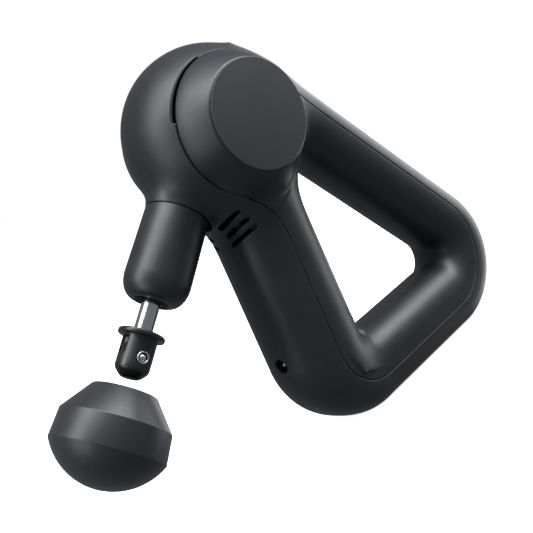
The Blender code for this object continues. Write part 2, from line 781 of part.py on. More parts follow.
def detent_coil():
    """Angles and heights along the detent spring's wire, at its shortest."""
    low, high, turns, each = -2.9 * MM, 2.4 * MM, 5, 8
    count = turns * each
    return [(2 * math.pi * k / each, low + (high - low) * k / count) for k in range(count + 1)]


# ---------------------------------------------------------------- dampener

def dampener():
    """Foam attachment head round a hard socket core."""
    top, rim = DAMPENER_TOP, DAMPENER_RIM
    profile = []
    dome = DAMPENER_TIP - rim[0]
    for k in range(6):
        angle = math.pi / 2 * (1 - k / 6)
        profile.append((rim[1] * math.cos(angle) ** 0.9, rim[0] + dome * math.sin(angle)))
    profile[0] = (0, DAMPENER_TIP)
    profile += [(rim[1], rim[0]), DAMPENER_SHOULDER[::-1], (top[1], top[0]), (9.3 * MM, top[0])]
    profile += [(9.3 * MM, top[0] + SOCKET_DEPTH + 2.6 * MM), (0, top[0] + SOCKET_DEPTH + 2.6 * MM)]
    turned("dampener_foam", profile, on_arm(), "foam", 28)
    core = [(0, top[0] + SOCKET_DEPTH + 2.3 * MM), (9.0 * MM, top[0] + SOCKET_DEPTH + 2.3 * MM)]
    core += [(9.0 * MM, top[0]), (SOCKET_R, top[0])]
    core += [(SOCKET_R, top[0] + SOCKET_DEPTH), (0, top[0] + SOCKET_DEPTH)]
    turned("dampener_core", core, on_arm(), "black", 20)


# ---------------------------------------------------------------- drive

def layer(name, outlines, low, high, matrix, finish):
    """A plate between two heights along the matrix's Z."""
    plate(name, outlines, high - low, matrix @ Matrix.Translation((0, 0, (low + high) / 2)), finish)


def drive_frame():
    """The chassis plate with the motor's bearing boss and three posts for the covers."""
    low, high = FRAME_PLATE
    chord = math.acos(19.5 / 25.6)
    outline = circle_points(25.6 * MM, 30, start=chord, sweep=2 * (math.pi - chord))
    body = plate("drive_frame", [outline], high - low, on_head(across=(low + high) / 2), "aluminium")
    boss = rod("motor_boss", 6.6 * MM, low, 21.6 * MM, on_head(), steps=20)
    join(body, boss)
    for k, (along, down) in enumerate(post_places()):
        join(body, rod(f"frame_post_{k}", 3.0 * MM, -12.6 * MM, low + 1 * MM, on_head(along, down), steps=12))
    for k, (along, down) in enumerate(post_places()):
        cut(body, drill(f"frame_bore_{k}", 1.5 * MM, -20 * MM, 20 * MM, on_head(along, down)))
    cut(body, drill("bearing_bore", 5.5 * MM, 0, 40 * MM, on_head(), steps=20))
    for side, word, low, high in ((1, "left", 11.2 * MM, 11.9 * MM), (-1, "right", -13.6 * MM, -12.9 * MM)):
        for k, (along, down) in enumerate(post_places()):
            tube(f"{word}_frame_mount_{k + 1}", 1.6 * MM, 3.4 * MM, low, high, on_head(along, down), "rubber", 10)


def motor():
    """Outrunner motor on the frame's boss, with its shaft carrying the crank disc."""
    for word, low in (("inner", 8.7 * MM), ("outer", 17.8 * MM)):
        tube(f"{word}_motor_bearing", 2.1 * MM, 5.2 * MM, low, low + 3 * MM, on_head(), "steel", 16)
    teeth = 9
    outline = []
    for k in range(teeth):
        middle = 2 * math.pi * k / teeth
        for turn, radius in ((-0.30, 11.2), (-0.15, 11.6), (0.15, 11.6), (0.30, 11.2), (0.14, 10.2), (0.14, 8.4)):
            outline.append((radius * MM * math.cos(middle + turn), radius * MM * math.sin(middle + turn)))
        turn = 2 * math.pi / teeth - 0.14
        outline.append((8.4 * MM * math.cos(middle + turn), 8.4 * MM * math.sin(middle + turn)))
        outline.append((10.2 * MM * math.cos(middle + turn), 10.2 * MM * math.sin(middle + turn)))
    plate("motor_stator_core", [outline, circle_points(6.9 * MM, 20)], 7 * MM, on_head(across=16.5 * MM), "steel")
    profile = [(7.5 * MM, 22.2 * MM), (8.2 * MM, 22.8 * MM), (10.2 * MM, 22.8 * MM)]
    profile += [(10.9 * MM, 22.2 * MM), (10.9 * MM, 20.4 * MM), (7.5 * MM, 20.4 * MM)]
    turned("motor_winding_ring", profile, on_head(), "copper", 18)
    tube("rotor_magnet_ring", 12.0 * MM, 13.1 * MM, 13 * MM, 20 * MM, on_head(), "steel", 24)
    bell = [(2.2 * MM, 25.4 * MM), (13.9 * MM, 25.4 * MM), (14.6 * MM, 24.6 * MM), (14.6 * MM, 12.4 * MM)]
    bell += [(13.5 * MM, 12.4 * MM), (13.5 * MM, 23.8 * MM), (2.2 * MM, 23.8 * MM)]
    turned("rotor_bell", bell, on_head(), "steel", 24)
    rod("motor_shaft", 1.8 * MM, 3.6 * MM, 28.6 * MM, on_head(), "steel", 16)


def crank():
    """Crank disc with its counterweight, turning next to the rod."""
    low, high = CRANK_DISC
    pin = crank_pin_down()
    heavy = circle_points(14 * MM, 22, start=math.radians(10), sweep=math.radians(160))
    light = circle_points(11.3 * MM, 14, start=math.radians(190), sweep=math.radians(160))
    holes = [circle_points(2.1 * MM, 16), circle_points(2.0 * MM, 16, (0, pin))]
    layer("crank_disc", [heavy + light] + holes, low, high, on_head(), "steel")
    blades = 9
    hub = 5 * MM
    outline = []
    for k in range(blades):
        angle = 2 * math.pi * k / blades
        for turn, radius in ((0, hub), (0.10, 13.8 * MM), (0.34, 13.8 * MM), (0.30, hub)):
            outline.append((radius * math.cos(angle + turn), radius * math.sin(angle + turn)))
    layer("cooling_fan", [outline, circle_points(2.1 * MM, 16)], 25.9 * MM, 28.3 * MM, on_head(), "black")


def rod_frame():
    """Z across the width, X along the rod from the crank pin to the wrist pin."""
    pin = HEAD + crank_pin_down() * DOWN
    wrist = ARM_START + wrist_along() * ARM
    return frame(pin, ACROSS, wrist - pin)


def connecting_rod():
    """Big end, shank and small end, with the crank pin pressed into the big end's bearing."""
    big, small, waist = 6.2 * MM, 3.9 * MM, 2.8 * MM
    outline = circle_points(big, 18, start=math.asin(waist / big), sweep=2 * math.pi - 2 * math.asin(waist / big))
    turn = math.pi - math.asin(waist / small)
    outline += circle_points(small, 14, (ROD_LENGTH, 0), start=-turn, sweep=2 * turn)
    holes = [circle_points(4.2 * MM, 20), circle_points(1.9 * MM, 16, (ROD_LENGTH, 0))]
    layer("connecting_rod", [outline] + holes, -ROD_HALF, ROD_HALF, rod_frame(), "aluminium")
    tube("big_end_bearing", 2.0 * MM, 3.9 * MM, -1.9 * MM, 1.9 * MM, rod_frame(), "steel", 20)
    rod("crank_pin", 1.7 * MM, -2.3 * MM, CRANK_DISC[0] - GAP, rod_frame(), "steel", 16)


# ---------------------------------------------------------------- electrics

CELL_R = 9.1 * MM
CELL_LENGTH = 65 * MM


def cell_frames():
    """Where the three battery cells lie: middle of each cell, Z along it."""
    places = {}
    runs = {
        "front": (FRONT_TOP, FRONT_CORNER, 60.5 * MM, -1.5 * MM),
        "base": (FRONT_CORNER, REAR_CORNER, 56 * MM, 0.0),
        "upper": (REAR_CORNER, UPPER_TOP, 77 * MM, 0.0),
    }
    for word, (start, end, along, outward_by) in runs.items():
        place = limb_frame(start, end, along, outward_by)
        places[word] = place @ Matrix.Rotation(math.pi / 2, 4, "Y")
    return places


def battery():
    """Three cells, one in each limb, each in its own cradle."""
    for word, place in cell_frames().items():
        half = CELL_LENGTH / 2
        profile = [(0, half), (3 * MM, half), (3 * MM, half - 1 * MM), (CELL_R - 0.6 * MM, half - 1 * MM)]
        profile += [(CELL_R, half - 1.6 * MM), (CELL_R, 0.4 * MM - half), (CELL_R - 0.6 * MM, -half), (0, -half)]
        turned(f"battery_cell_{word}", profile, place, "wrap", 16)
        outer = circle_points(CELL_R + 1.7 * MM, 10, start=math.radians(95), sweep=math.radians(170))
        inner = circle_points(CELL_R + 0.4 * MM, 10, start=math.radians(265), sweep=math.radians(-170))
        plate(f"cell_cradle_{word}", [outer + inner], 52 * MM, place, "black")


def charge_port():
    """Barrel jack behind the round port, with its centre pin."""
    place = port_frame()
    profile = [(0, -9.2 * MM), (2.7 * MM, -9.2 * MM), (2.7 * MM, -4.4 * MM), (4.1 * MM, -4.4 * MM)]
    profile += [(4.1 * MM, -10.2 * MM), (0, -10.2 * MM)]
    turned("charge_port_jack", profile, place, "black", 20)
    pin = [(0, -1.6 * MM), (0.6 * MM, -1.6 * MM), (0.9 * MM, -2.0 * MM), (0.9 * MM, -8.9 * MM), (0, -8.9 * MM)]
    turned("charge_port_pin", pin, place, "steel", 14)


BUTTON_R = 3.0 * MM
BUTTONS = {"speed_up_button": -7.4 * MM, "power_button": 0.0, "speed_down_button": 7.4 * MM}


def control_panel(raised, sunk):
    """A crowned panel in the housing's window behind the head, with three buttons and a light pipe."""
    window = block("panel_slice", (PANEL_LENGTH - 2 * GAP, PANEL_WIDTH - 2 * GAP, 20 * MM), panel_frame())
    mesh = raised.data.copy()
    panel = new_object("control_panel", mesh, raised.matrix_world, "black")
    boolean(panel, window, "INTERSECT")
    cut(panel, sunk)
    for name, along in BUTTONS.items():
        hole = rod(name + "_hole", BUTTON_R + GAP, -10 * MM, 10 * MM, panel_frame(along), steps=20)
        cut(panel, hole)
        profile = [(0, 2.3 * MM), (2.0 * MM, 2.2 * MM), (2.7 * MM, 1.9 * MM), (BUTTON_R, 1.5 * MM)]
        profile += [(BUTTON_R, -3.4 * MM), (0, -3.4 * MM)]
        turned(name, profile, panel_frame(along), "rubber", 20)
    light = (16 * MM, 1.4 * MM)
    cut(panel, block("light_slot", (light[0] + 2 * GAP, light[1] + 2 * GAP, 20 * MM), panel_frame(0, -5.6 * MM)))
    block("status_light_pipe", (light[0], light[1], 3.0 * MM), panel_frame(0, -5.6 * MM, 0.7 * MM), "light", 0.3 * MM)
    block("control_board", (20 * MM, 14 * MM, 1.4 * MM), panel_frame(0, 0, 5.4 * MM), "board", 0.2 * MM)


def boards():
    """Motor driver board behind the right cover, and the battery board in the rear corner."""
    outline = circle_points(14.6 * MM, 28)
    layer("motor_driver_board", [outline, circle_points(2 * MM, 12)], -21.4 * MM, -19.9 * MM, on_head(), "board")
    place = limb_frame(REAR_CORNER, UPPER_TOP, 30 * MM, -1 * MM)
    block("battery_board", (16 * MM, 20 * MM, 1.4 * MM), place, "board", 0.2 * MM)


def leads():
    """Internal leads, clipped along the loop from the charging jack to the battery board."""
    first = port_frame(11.5 * MM).to_translation()
    second = limb_frame(FRONT_TOP, FRONT_CORNER, PORT_ALONG + 7 * MM, 5 * MM, -7 * MM).to_translation()
    route = [first, second, Vector((-32 * MM, -11.2 * MM, 19.5 * MM))]
    route += [Vector((x * MM, -11.4 * MM, 19.5 * MM)) for x in (-12, 10, 32)]
    route += [Vector((48 * MM, -9 * MM, 20 * MM))]
    cord("charging_lead", route, 0.8 * MM, "lead")


def build():
    outer = outer_form("outer_solid", 0.0, 2)
    inner = outer_form("hollow", WALL, 1)
    raised = outer_form("panel_crown", -PANEL_RAISE, 1)
    shells(outer, inner)
    end_caps()
    cover_screws()
    arm_sleeve()
    arm_bearings()
    percussion_shaft()
    attachment_connector()
    detent()
    dampener()
    drive_frame()
    motor()
    crank()
    connecting_rod()
    battery()
    charge_port()
    control_panel(raised, inner)
    boards()
    leads()


build()
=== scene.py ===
"""Looks of the percussive massage gun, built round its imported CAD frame.

The moulded body is one smooth form, given by a distance field, meshed and then cut into the centre
housing and the two side covers with real gaps, rounded edges and wall thickness. Distances in the
form-making code are millimetres in the row frame; meshes are made in metres.
"""
import json
from math import acos, atan, cos, pi, radians, sin, sqrt, tan

import bmesh
import bpy
import numpy as np
from mathutils import Matrix, Vector
from numpy.linalg import norm

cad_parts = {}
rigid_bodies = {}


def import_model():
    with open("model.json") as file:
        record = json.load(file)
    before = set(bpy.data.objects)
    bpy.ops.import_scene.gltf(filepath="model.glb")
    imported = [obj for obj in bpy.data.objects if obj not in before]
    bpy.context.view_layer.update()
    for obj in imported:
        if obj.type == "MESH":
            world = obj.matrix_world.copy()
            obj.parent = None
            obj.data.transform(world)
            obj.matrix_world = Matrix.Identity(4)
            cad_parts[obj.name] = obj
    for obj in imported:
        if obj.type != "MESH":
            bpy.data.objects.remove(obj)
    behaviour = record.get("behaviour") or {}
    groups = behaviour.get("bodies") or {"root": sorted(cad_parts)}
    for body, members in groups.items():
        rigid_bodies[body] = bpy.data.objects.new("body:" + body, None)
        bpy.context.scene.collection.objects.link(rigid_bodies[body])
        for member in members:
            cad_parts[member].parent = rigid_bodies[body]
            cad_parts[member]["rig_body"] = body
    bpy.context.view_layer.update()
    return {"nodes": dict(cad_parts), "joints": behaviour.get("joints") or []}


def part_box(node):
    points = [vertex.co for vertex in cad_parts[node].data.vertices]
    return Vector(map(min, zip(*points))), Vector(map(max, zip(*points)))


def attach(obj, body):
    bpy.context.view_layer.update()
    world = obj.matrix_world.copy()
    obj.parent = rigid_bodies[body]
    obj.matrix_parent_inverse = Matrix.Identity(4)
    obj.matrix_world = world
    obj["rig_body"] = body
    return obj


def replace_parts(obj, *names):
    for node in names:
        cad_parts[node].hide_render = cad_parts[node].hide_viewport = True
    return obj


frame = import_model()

MM = 0.001
JOINTS = {joint["name"]: joint for joint in frame["joints"]}


def box_mm(node):
    low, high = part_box(node)
    return np.array(low) / MM, np.array(high) / MM


# ---- driving sizes, in millimetres

CAP_LOW, CAP_HIGH = box_mm("left_end_cap")
HEAD = (CAP_LOW + CAP_HIGH) / 2 * np.array([1, 0, 1])  # centre of the head
CAP_R = (CAP_HIGH[0] - CAP_LOW[0]) / 2
HALF_WIDTH = CAP_HIGH[1]
HEAD_XZ = HEAD[[0, 2]]
BARREL_R = box_mm("centre_housing")[1][2] - HEAD[2]
SEAM_R = 28.1  # where the side covers meet the barrel
SEAM_Y = 20.3
BAND_POWER = 1.35  # how convex the covers' side band is, from the seam in to the end cap
BAND_TOP = 33.1  # the band's height where it meets the end cap
CAP_OVERHANG = 0.25  # how far the end cap stands out past the band
HEAD_FILLET = 15.0  # width of the blend between head and limbs
LIMB_FILLET = 9.0
FOOT_FILLET = 1.6

ARM = np.array(JOINTS["shaft_stroke"]["axis"])
DOWN = np.array([-ARM[2], 0, ARM[0]])  # square to the arm, towards the hand
ACROSS = np.array([0.0, 1.0, 0.0])
ARM_START = HEAD - 4.5 * DOWN
NECK_R = 12.2
NECK_END = 36.7  # along the arm, where the sleeve begins
NECK_CUT_R = 15.0
SLEEVE_END = 71.8
SHAFT_R = 3.5
FLANGE_AT = 83.6
CONNECTOR_R = 6.4
CONNECTOR_TIP = FLANGE_AT + 17.0
BALL_AT = FLANGE_AT + 9.5

FRONT_TOP = np.array([-37.3, 130.1])
FRONT_CORNER = np.array([-48.0, 14.3])
REAR_CORNER = np.array([67.9, 14.3])
UPPER_TOP = np.array([-16.0, 138.6])
FRONT_BEND = 16.5
REAR_BEND = 20.2
FRONT_TOP_SIZE = (18.8, 19.3)  # half sizes of the limbs, in the loop's plane and across it
FRONT_SIZE = (19.8, 18.8)
BASE_SIZE = (15.2, 16.8)
UPPER_SIZE = (14.1, 16.4)
ROUND = 2.2  # exponent of the limbs' rounded section
FLAT = 3.0  # the same under the base

WALL = 2.3  # thickness of the moulded shells
SEAM_GAP = 0.26
EDGE_R = 0.32  # radius of the shells' edges
GRID = 0.9  # spacing of the body's mesh


# ---- distance fields

def smooth_min(a, b, width):
    """The lesser of two distances, with a fillet where they are about equal."""
    near = np.clip(width - np.abs(a - b), 0, None) / width
    return np.minimum(a, b) - near ** 3 * width / 6


def section(n, y, half_n, half_y, power):
    """Distance, along the ray from the middle, to the edge of a rounded section."""
    reach = np.hypot(n, y) + 1e-9
    scale = ((np.abs(n) / half_n) ** power + (np.abs(y) / half_y) ** power) ** (1 / power) + 1e-9
    return reach * (1 - 1 / scale)


def smooth_max(a, b, width):
    return -smooth_min(-a, -b, width)


def lerp(a, b, t):
    return a + (b - a) * t


def unit(v):
    return v / norm(v)


def units(rows):
    return rows / (norm(rows, axis=1, keepdims=True) + 1e-12)


def run_coordinates(q, start, end):
    """Distance along a straight run, and distance out of the loop from it."""
    way = unit(end - start)
    outward = np.array([way[1], -way[0]])
    return (q - start) @ way, (q - start) @ outward


def runs_on(s, n, length):
    """Where a limb's inner side may run on past its ends, narrower the further it goes."""
    return n < -0.4 * np.maximum(0, np.maximum(s - length, -s))


def run_field(q, y, start, end, size_a, size_b, power_out=ROUND, spare=(0, 0)):
    """A straight limb. On its inner side it runs on past its ends by the spare lengths."""
    s, n = run_coordinates(q, start, end)
    length = norm(end - start)
    t = np.clip(s / length, 0, 1)
    power = np.where(n > 0, power_out, ROUND)
    side = section(n, y, lerp(size_a[0], size_b[0], t), lerp(size_a[1], size_b[1], t), power)
    inner = runs_on(s, n, length)
    past = np.maximum(s - length - spare[1] * inner, -s - spare[0] * inner)
    return np.maximum(side, past)


def bend_shape(before, corner, after, radius):
    """Centre, start and end of the arc that rounds a corner of the loop."""
    u, v = unit(before - corner), unit(after - corner)
    half = acos(u @ v) / 2
    centre = corner + unit(u + v) * radius / sin(half)
    reach = radius / tan(half)
    return centre, corner + u * reach, corner + v * reach, pi - 2 * half


def bend_field(q, y, shape, radius, size_a, size_b, power_a, power_b):
    centre, start, _, turn = shape
    arm = unit(start - centre)
    rel = q - centre
    side = np.array([-arm[1], arm[0]])       # the loop is followed anticlockwise
    angle = np.arctan2(rel @ side, rel @ arm)
    t = angle / turn
    n = np.hypot(rel[:, 0], rel[:, 1]) - radius
    k = np.clip(t, 0, 1)
    power = np.where(n > 0, lerp(power_a, power_b, k), ROUND)
    shell = section(n, y, lerp(size_a[0], size_b[0], k), lerp(size_a[1], size_b[1], k), power)
    return np.maximum(shell, np.maximum(t - 1, -t) * turn * radius)


FRONT_ARC = bend_shape(FRONT_TOP, FRONT_CORNER, REAR_CORNER, FRONT_BEND)
REAR_ARC = bend_shape(FRONT_CORNER, REAR_CORNER, UPPER_TOP, REAR_BEND)
TAPER_FROM = 5.0  # the upper limb narrows into the head over its last stretch
TAPER_LENGTH = 20.0
TAPER_SHARE = 0.42


def upper_field(q, y):
    s, n = run_coordinates(q, REAR_ARC[2], UPPER_TOP)
    length = norm(UPPER_TOP - REAR_ARC[2])
    past = np.clip((s - length + TAPER_FROM) / TAPER_LENGTH, 0, 1)
    share = 1 - TAPER_SHARE * past ** 1.5
    side = section(n, y, UPPER_SIZE[0] * share, UPPER_SIZE[1] * share, ROUND)
    return np.maximum(side, np.maximum(s - length - 14, -s - 15 * runs_on(s, n, length)))


def loop_field(q, y):
    front = run_field(q, y, FRONT_TOP, FRONT_ARC[1], FRONT_TOP_SIZE, FRONT_SIZE, spare=(0, 12))
    base = run_field(q, y, FRONT_ARC[2], REAR_ARC[1], BASE_SIZE, BASE_SIZE, FLAT, (12, 15))
    upper = upper_field(q, y)
    lower = bend_field(q, y, FRONT_ARC, FRONT_BEND, FRONT_SIZE, BASE_SIZE, ROUND, FLAT)
    rear = bend_field(q, y, REAR_ARC, REAR_BEND, BASE_SIZE, UPPER_SIZE, FLAT, ROUND)
    limbs = np.minimum(smooth_min(front, base, LIMB_FILLET), smooth_min(base, upper, LIMB_FILLET))
    return np.minimum(limbs, np.minimum(lower, rear))


def head_radius(p):
    return np.hypot(p[:, 0] - HEAD[0], p[:, 2] - HEAD[2])


def barrel_radius(share):
    """The barrel's radius, at a share of the way out to the seam."""
    return SEAM_R + (BARREL_R - SEAM_R) * (1 - share ** ROUND)


def head_field(p):
    """The barrel about the Y axis, and the convex band of each side cover up to its end cap."""
    r = head_radius(p)
    y = np.abs(p[:, 1])
    share = np.clip(y / SEAM_Y, 0, 1.2)
    slope = (BARREL_R - SEAM_R) * ROUND / SEAM_Y * share ** (ROUND - 1)
    barrel = (r - barrel_radius(share)) / np.sqrt(1 + slope ** 2)
    rise = np.clip((y - SEAM_Y) / (BAND_TOP - SEAM_Y), 0, 1.1)
    fall = SEAM_R - CAP_R - CAP_OVERHANG
    lean = fall / (BAND_TOP - SEAM_Y) * BAND_POWER * rise ** (BAND_POWER - 1)
    band = (r - SEAM_R + fall * rise ** BAND_POWER) / np.sqrt(1 + lean ** 2)
    band = np.maximum(band, y - BAND_TOP)
    return np.where(y < SEAM_Y, barrel, band)


def off_arm(p):
    """Distance along the arm's axis, and distance from it."""
    rel = p - ARM_START
    along = rel @ ARM
    return along, np.sqrt(np.maximum((rel ** 2).sum(1) - along ** 2, 0))


def body_field(p):
    """The whole moulded body: head, loop handle and neck, flat where it stands."""
    q = p[:, [0, 2]]
    y = p[:, 1]
    form = smooth_min(head_field(p), loop_field(q, y), HEAD_FILLET)
    along, off = off_arm(p)
    neck = np.maximum(off - NECK_R, np.maximum(along - NECK_END - 3, -along))
    form = smooth_min(form, neck, LIMB_FILLET)
    return smooth_max(form, -p[:, 2], FOOT_FILLET)


# ---- meshing a field

def surface_net(field, low, high, step):
    """Quads round the cells that the surface passes through, with their points on the surface."""
    axes = [np.arange(a, b + step, step) for a, b in zip(low, high)]
    shape = [len(a) for a in axes]
    inside = np.empty(shape, bool)
    yy, zz = np.meshgrid(axes[1], axes[2], indexing="ij")
    for i, x in enumerate(axes[0]):
        points = np.column_stack([np.full(yy.size, x), yy.ravel(), zz.ravel()])
        inside[i] = (field(points) < 0).reshape(yy.shape)
    cells = [n - 1 for n in shape]
    filled = np.zeros(cells, np.int8)
    for i, j, k in np.ndindex(2, 2, 2):
        filled += inside[i:i + cells[0], j:j + cells[1], k:k + cells[2]]
    active = (filled > 0) & (filled < 8)
    index = np.full(cells, -1, np.int64)
    index[active] = np.arange(active.sum())
    where = np.argwhere(active)
    points = np.column_stack([axes[k][where[:, k]] + step / 2 for k in range(3)])
    quads = []
    for axis in range(3):
        block = np.moveaxis(inside, axis, 0)
        number = np.moveaxis(index, axis, 0)
        change = block[1:, 1:-1, 1:-1].astype(np.int8) - block[:-1, 1:-1, 1:-1]
        i, j, k = np.nonzero(change)
        ring = [number[i, j, k], number[i, j + 1, k], number[i, j + 1, k + 1], number[i, j, k + 1]]
        quad = np.column_stack(ring)
        flip = (change[i, j, k] > 0) != (axis == 1)
        quad[flip] = quad[flip][:, ::-1]
        quads.append(quad)
    return points, np.vstack(quads)


def gradient(field, points, reach=0.04):
    slope = np.empty_like(points)
    for k in range(3):
        step = np.zeros(3)
        step[k] = reach
        slope[:, k] = (field(points + step) - field(points - step)) / (2 * reach)
    return slope


def nearer(field, points, longest):
    """The points moved one step along the field's gradient, towards its surface."""
    slope = gradient(field, points)
    size = (slope ** 2).sum(1) + 1e-6
    step = (field(points) / size)[:, None] * slope
    reach = norm(step, axis=1, keepdims=True) + 1e-9
    return points - step * np.minimum(1, longest / reach)


def onto(field, points, rounds=4, longest=0.6):
    """The points moved onto the field's surface."""
    for _ in range(rounds):
        points = nearer(field, points, longest)
    return points


def pairs_of(faces):
    """Each face's edges, in the direction the face runs."""
    count = faces.shape[1]
    return np.vstack([faces[:, [k, (k + 1) % count]] for k in range(count)])


def edges_of(faces):
    return np.unique(np.sort(pairs_of(faces), axis=1), axis=0)


def relaxed(field, points, faces, rounds, still=None, share=0.5):
    """Points evened out between their neighbours, and kept on the surface."""
    edges = edges_of(faces)
    degree = np.bincount(edges.ravel(), minlength=len(points))[:, None]
    for _ in range(rounds):
        total = np.zeros_like(points)
        for a, b in ((0, 1), (1, 0)):
            for k in range(3):
                total[:, k] += np.bincount(edges[:, a], points[edges[:, b], k], len(points))
        moved = points + share * (total / np.maximum(degree, 1) - points)
        if still is not None:
            moved[still] = points[still]
        points = moved
        free = slice(None) if still is None else ~still
        points[free] = onto(field, points[free], 1)
    return points


def triangles(quads, points):
    """Each quad split along its shorter diagonal."""
    a, b, c, d = (points[quads[:, k]] for k in range(4))
    short = norm(a - c, axis=1) <= norm(b - d, axis=1)
    first = np.where(short[:, None], quads[:, [0, 1, 2]], quads[:, [0, 1, 3]])
    second = np.where(short[:, None], quads[:, [0, 2, 3]], quads[:, [1, 2, 3]])
    return np.vstack([first, second])


# ---- cutting a skin

SNAP = 0.3  # share of an edge within which a cut moves a point instead


def on_both(field, g, points):
    """Points moved onto the surface and onto the cut at once."""
    for _ in range(5):
        points = nearer(g, onto(field, points, 1), 0.5)
    return points


def split(field, points, tris, g):
    """The skin cut along g = 0: its points, the triangles where g is positive, and the others."""
    points = points.copy()
    value = g(points)
    edges = edges_of(tris)
    a, b = edges.T
    cross = value[a] * value[b] < 0
    t = value[a] / np.where(cross, value[a] - value[b], 1)
    for near, end in ((cross & (t < SNAP), a), (cross & (t > 1 - SNAP), b)):
        spot = points[a[near]] * (1 - t[near])[:, None] + points[b[near]] * t[near][:, None]
        points[end[near]] = spot
        value[end[near]] = 0
    snapped = value == 0
    points[snapped] = on_both(field, g, points[snapped])
    pairs = np.sort(np.stack([tris, np.roll(tris, -1, axis=1)], axis=2), axis=2).reshape(-1, 2)
    edges, back = np.unique(pairs, axis=0, return_inverse=True)
    back = back.reshape(-1, 3)
    a, b = edges.T
    cross = value[a] * value[b] < 0
    t = (value[a] / np.where(cross, value[a] - value[b], 1))[cross][:, None]
    fresh = points[a[cross]] * (1 - t) + points[b[cross]] * t
    fresh = on_both(field, g, fresh)
    number = np.full(len(edges), -1)
    number[cross] = len(points) + np.arange(cross.sum())
    points = np.vstack([points, fresh])
    sign = np.sign(value[tris])
    mixed = (sign.min(1) < 0) & (sign.max(1) > 0)
    level = (sign.min(1) == 0) & (sign.max(1) == 0)
    middle = g(points[tris].mean(1)) if level.any() else np.zeros(len(tris))
    positive = ~mixed & np.where(level, middle > 0, sign.max(1) > 0)
    above, below = [tris[positive]], [tris[~mixed & ~positive]]
    extra = {1: [], -1: []}
    for tri, signs, numbers in zip(tris[mixed], sign[mixed], back[mixed]):
        for way in (1, -1):
            ring = []
            for k in range(3):
                if signs[k] * way >= 0:
                    ring.append(tri[k])
                if signs[k] * signs[(k + 1) % 3] < 0:
                    ring.append(number[numbers[k]])
            extra[way] += [(ring[0], ring[k], ring[k + 1]) for k in range(1, len(ring) - 1)]
    above.append(np.array(extra[1], int).reshape(-1, 3))
    below.append(np.array(extra[-1], int).reshape(-1, 3))
    return points, np.vstack(above), np.vstack(below)


def compact(points, tris):
    used, back = np.unique(tris, return_inverse=True)
    return points[used], back.reshape(-1, 3)


def point_normals(points, tris):
    a, b, c = (points[tris[:, k]] for k in range(3))
    normal = np.cross(b - a, c - a)
    total = np.zeros_like(points)
    for k in range(3):
        for axis in range(3):
            total[:, axis] += np.bincount(tris[:, k], normal[:, axis], len(points))
    return units(total)


def rim_edges(tris):
    """The skin's open edges, in the direction its triangles run."""
    pairs = pairs_of(tris)
    _, back, count = np.unique(np.sort(pairs, axis=1), axis=0, return_inverse=True, return_counts=True)
    return pairs[count[back.ravel()] == 1]


EDGE_STEPS = 4
CLOSED_WITHIN = 0.4  # of the middle plane, where the covers meet closely
CLOSED_EDGE, CLOSED_GAP = 0.07, 0.02


def walled(field, points, tris, lift=None):
    """A skin with rounded edges along its rims, a gap round it and a wall's thickness."""
    points, tris = compact(points, tris)
    rim = rim_edges(tris)
    normal = point_normals(points, tris)
    run = np.zeros_like(points)
    for end in (0, 1):
        np.add.at(run, rim[:, end], points[rim[:, 1]] - points[rim[:, 0]])
    edge_points = np.unique(rim)
    closed = np.abs(points[edge_points, 1:2]) < CLOSED_WITHIN
    edge = np.where(closed, CLOSED_EDGE, EDGE_R)
    gap = np.where(closed, CLOSED_GAP, SEAM_GAP / 2)
    out = units(np.cross(run[edge_points], normal[edge_points]))
    base = points[edge_points].copy()
    up = normal[edge_points]
    still = np.zeros(len(points), bool)
    still[edge_points] = True
    skin = points.copy()
    skin[edge_points] = onto(field, base - (gap + edge) * out, 2)
    skin = relaxed(field, skin, tris, 6, still)
    shift = skin[edge_points] - (base - (gap + edge) * out)
    smooth = units(gradient(field, skin))
    rings = [edge_points]
    stack = [skin]
    count = len(points)
    for k in range(1, EDGE_STEPS + 1):
        angle = pi / 2 * k / EDGE_STEPS
        fade = 1 - k / EDGE_STEPS
        ring = base - (gap + edge * (1 - sin(angle))) * out
        ring = ring - edge * (1 - cos(angle)) * up + shift * fade
        rings.append(count + np.arange(len(edge_points)))
        stack.append(ring)
        count += len(edge_points)
    inner = skin - WALL * smooth
    inner[edge_points] = base - gap * out - WALL * up
    inner_start = count
    stack.append(inner)
    place = np.full(len(points), -1)
    place[edge_points] = np.arange(len(edge_points))
    faces = [tris, tris[:, ::-1] + inner_start]
    a, b = place[rim[:, 0]], place[rim[:, 1]]
    rows = rings + [inner_start + edge_points]
    for upper, lower in zip(rows[:-1], rows[1:]):
        faces.append(np.column_stack([upper[b], upper[a], lower[a]]))
        faces.append(np.column_stack([upper[b], lower[a], lower[b]]))
    made = np.vstack(stack)
    if lift is not None:
        made = made + lift(made)
    return made, np.vstack(faces)


def linked(name, data):
    made = bpy.data.objects.new(name, data)
    bpy.context.scene.collection.objects.link(made)
    return made


def placed(mesh, node, slot):
    """A piece made of a mesh, with its slot's finish, riding on the body of a CAD node."""
    mesh.materials.append(FINISH[slot])
    made = linked(mesh.name, mesh)
    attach(made, BODY_OF[node])
    return made


def mesh_object(name, points, faces, node, slot):
    """A smooth piece from points in millimetres."""
    mesh = bpy.data.meshes.new(name)
    mesh.from_pydata((points * MM).tolist(), [], faces.tolist() if hasattr(faces, "tolist") else faces)
    mesh.shade_smooth()
    return placed(mesh, node, slot)


# ---- where the shells part

FRONT_SEAM = 2.4  # how far the seam lies outside each limb's centreline
BASE_SEAM = 3.2
UPPER_SEAM = 3.0
SEAM_BENDS = (20.0, 26.0)
S_START = radians(229)  # where the seam leaves the head's circle for the front limb
S_JOINS = 49.0  # and how far down the limb it arrives
S_PULL = 14.0  # how strongly the curve between them keeps each end's direction
UPPER_START = radians(38)  # where the seam comes up the upper limb to the circle


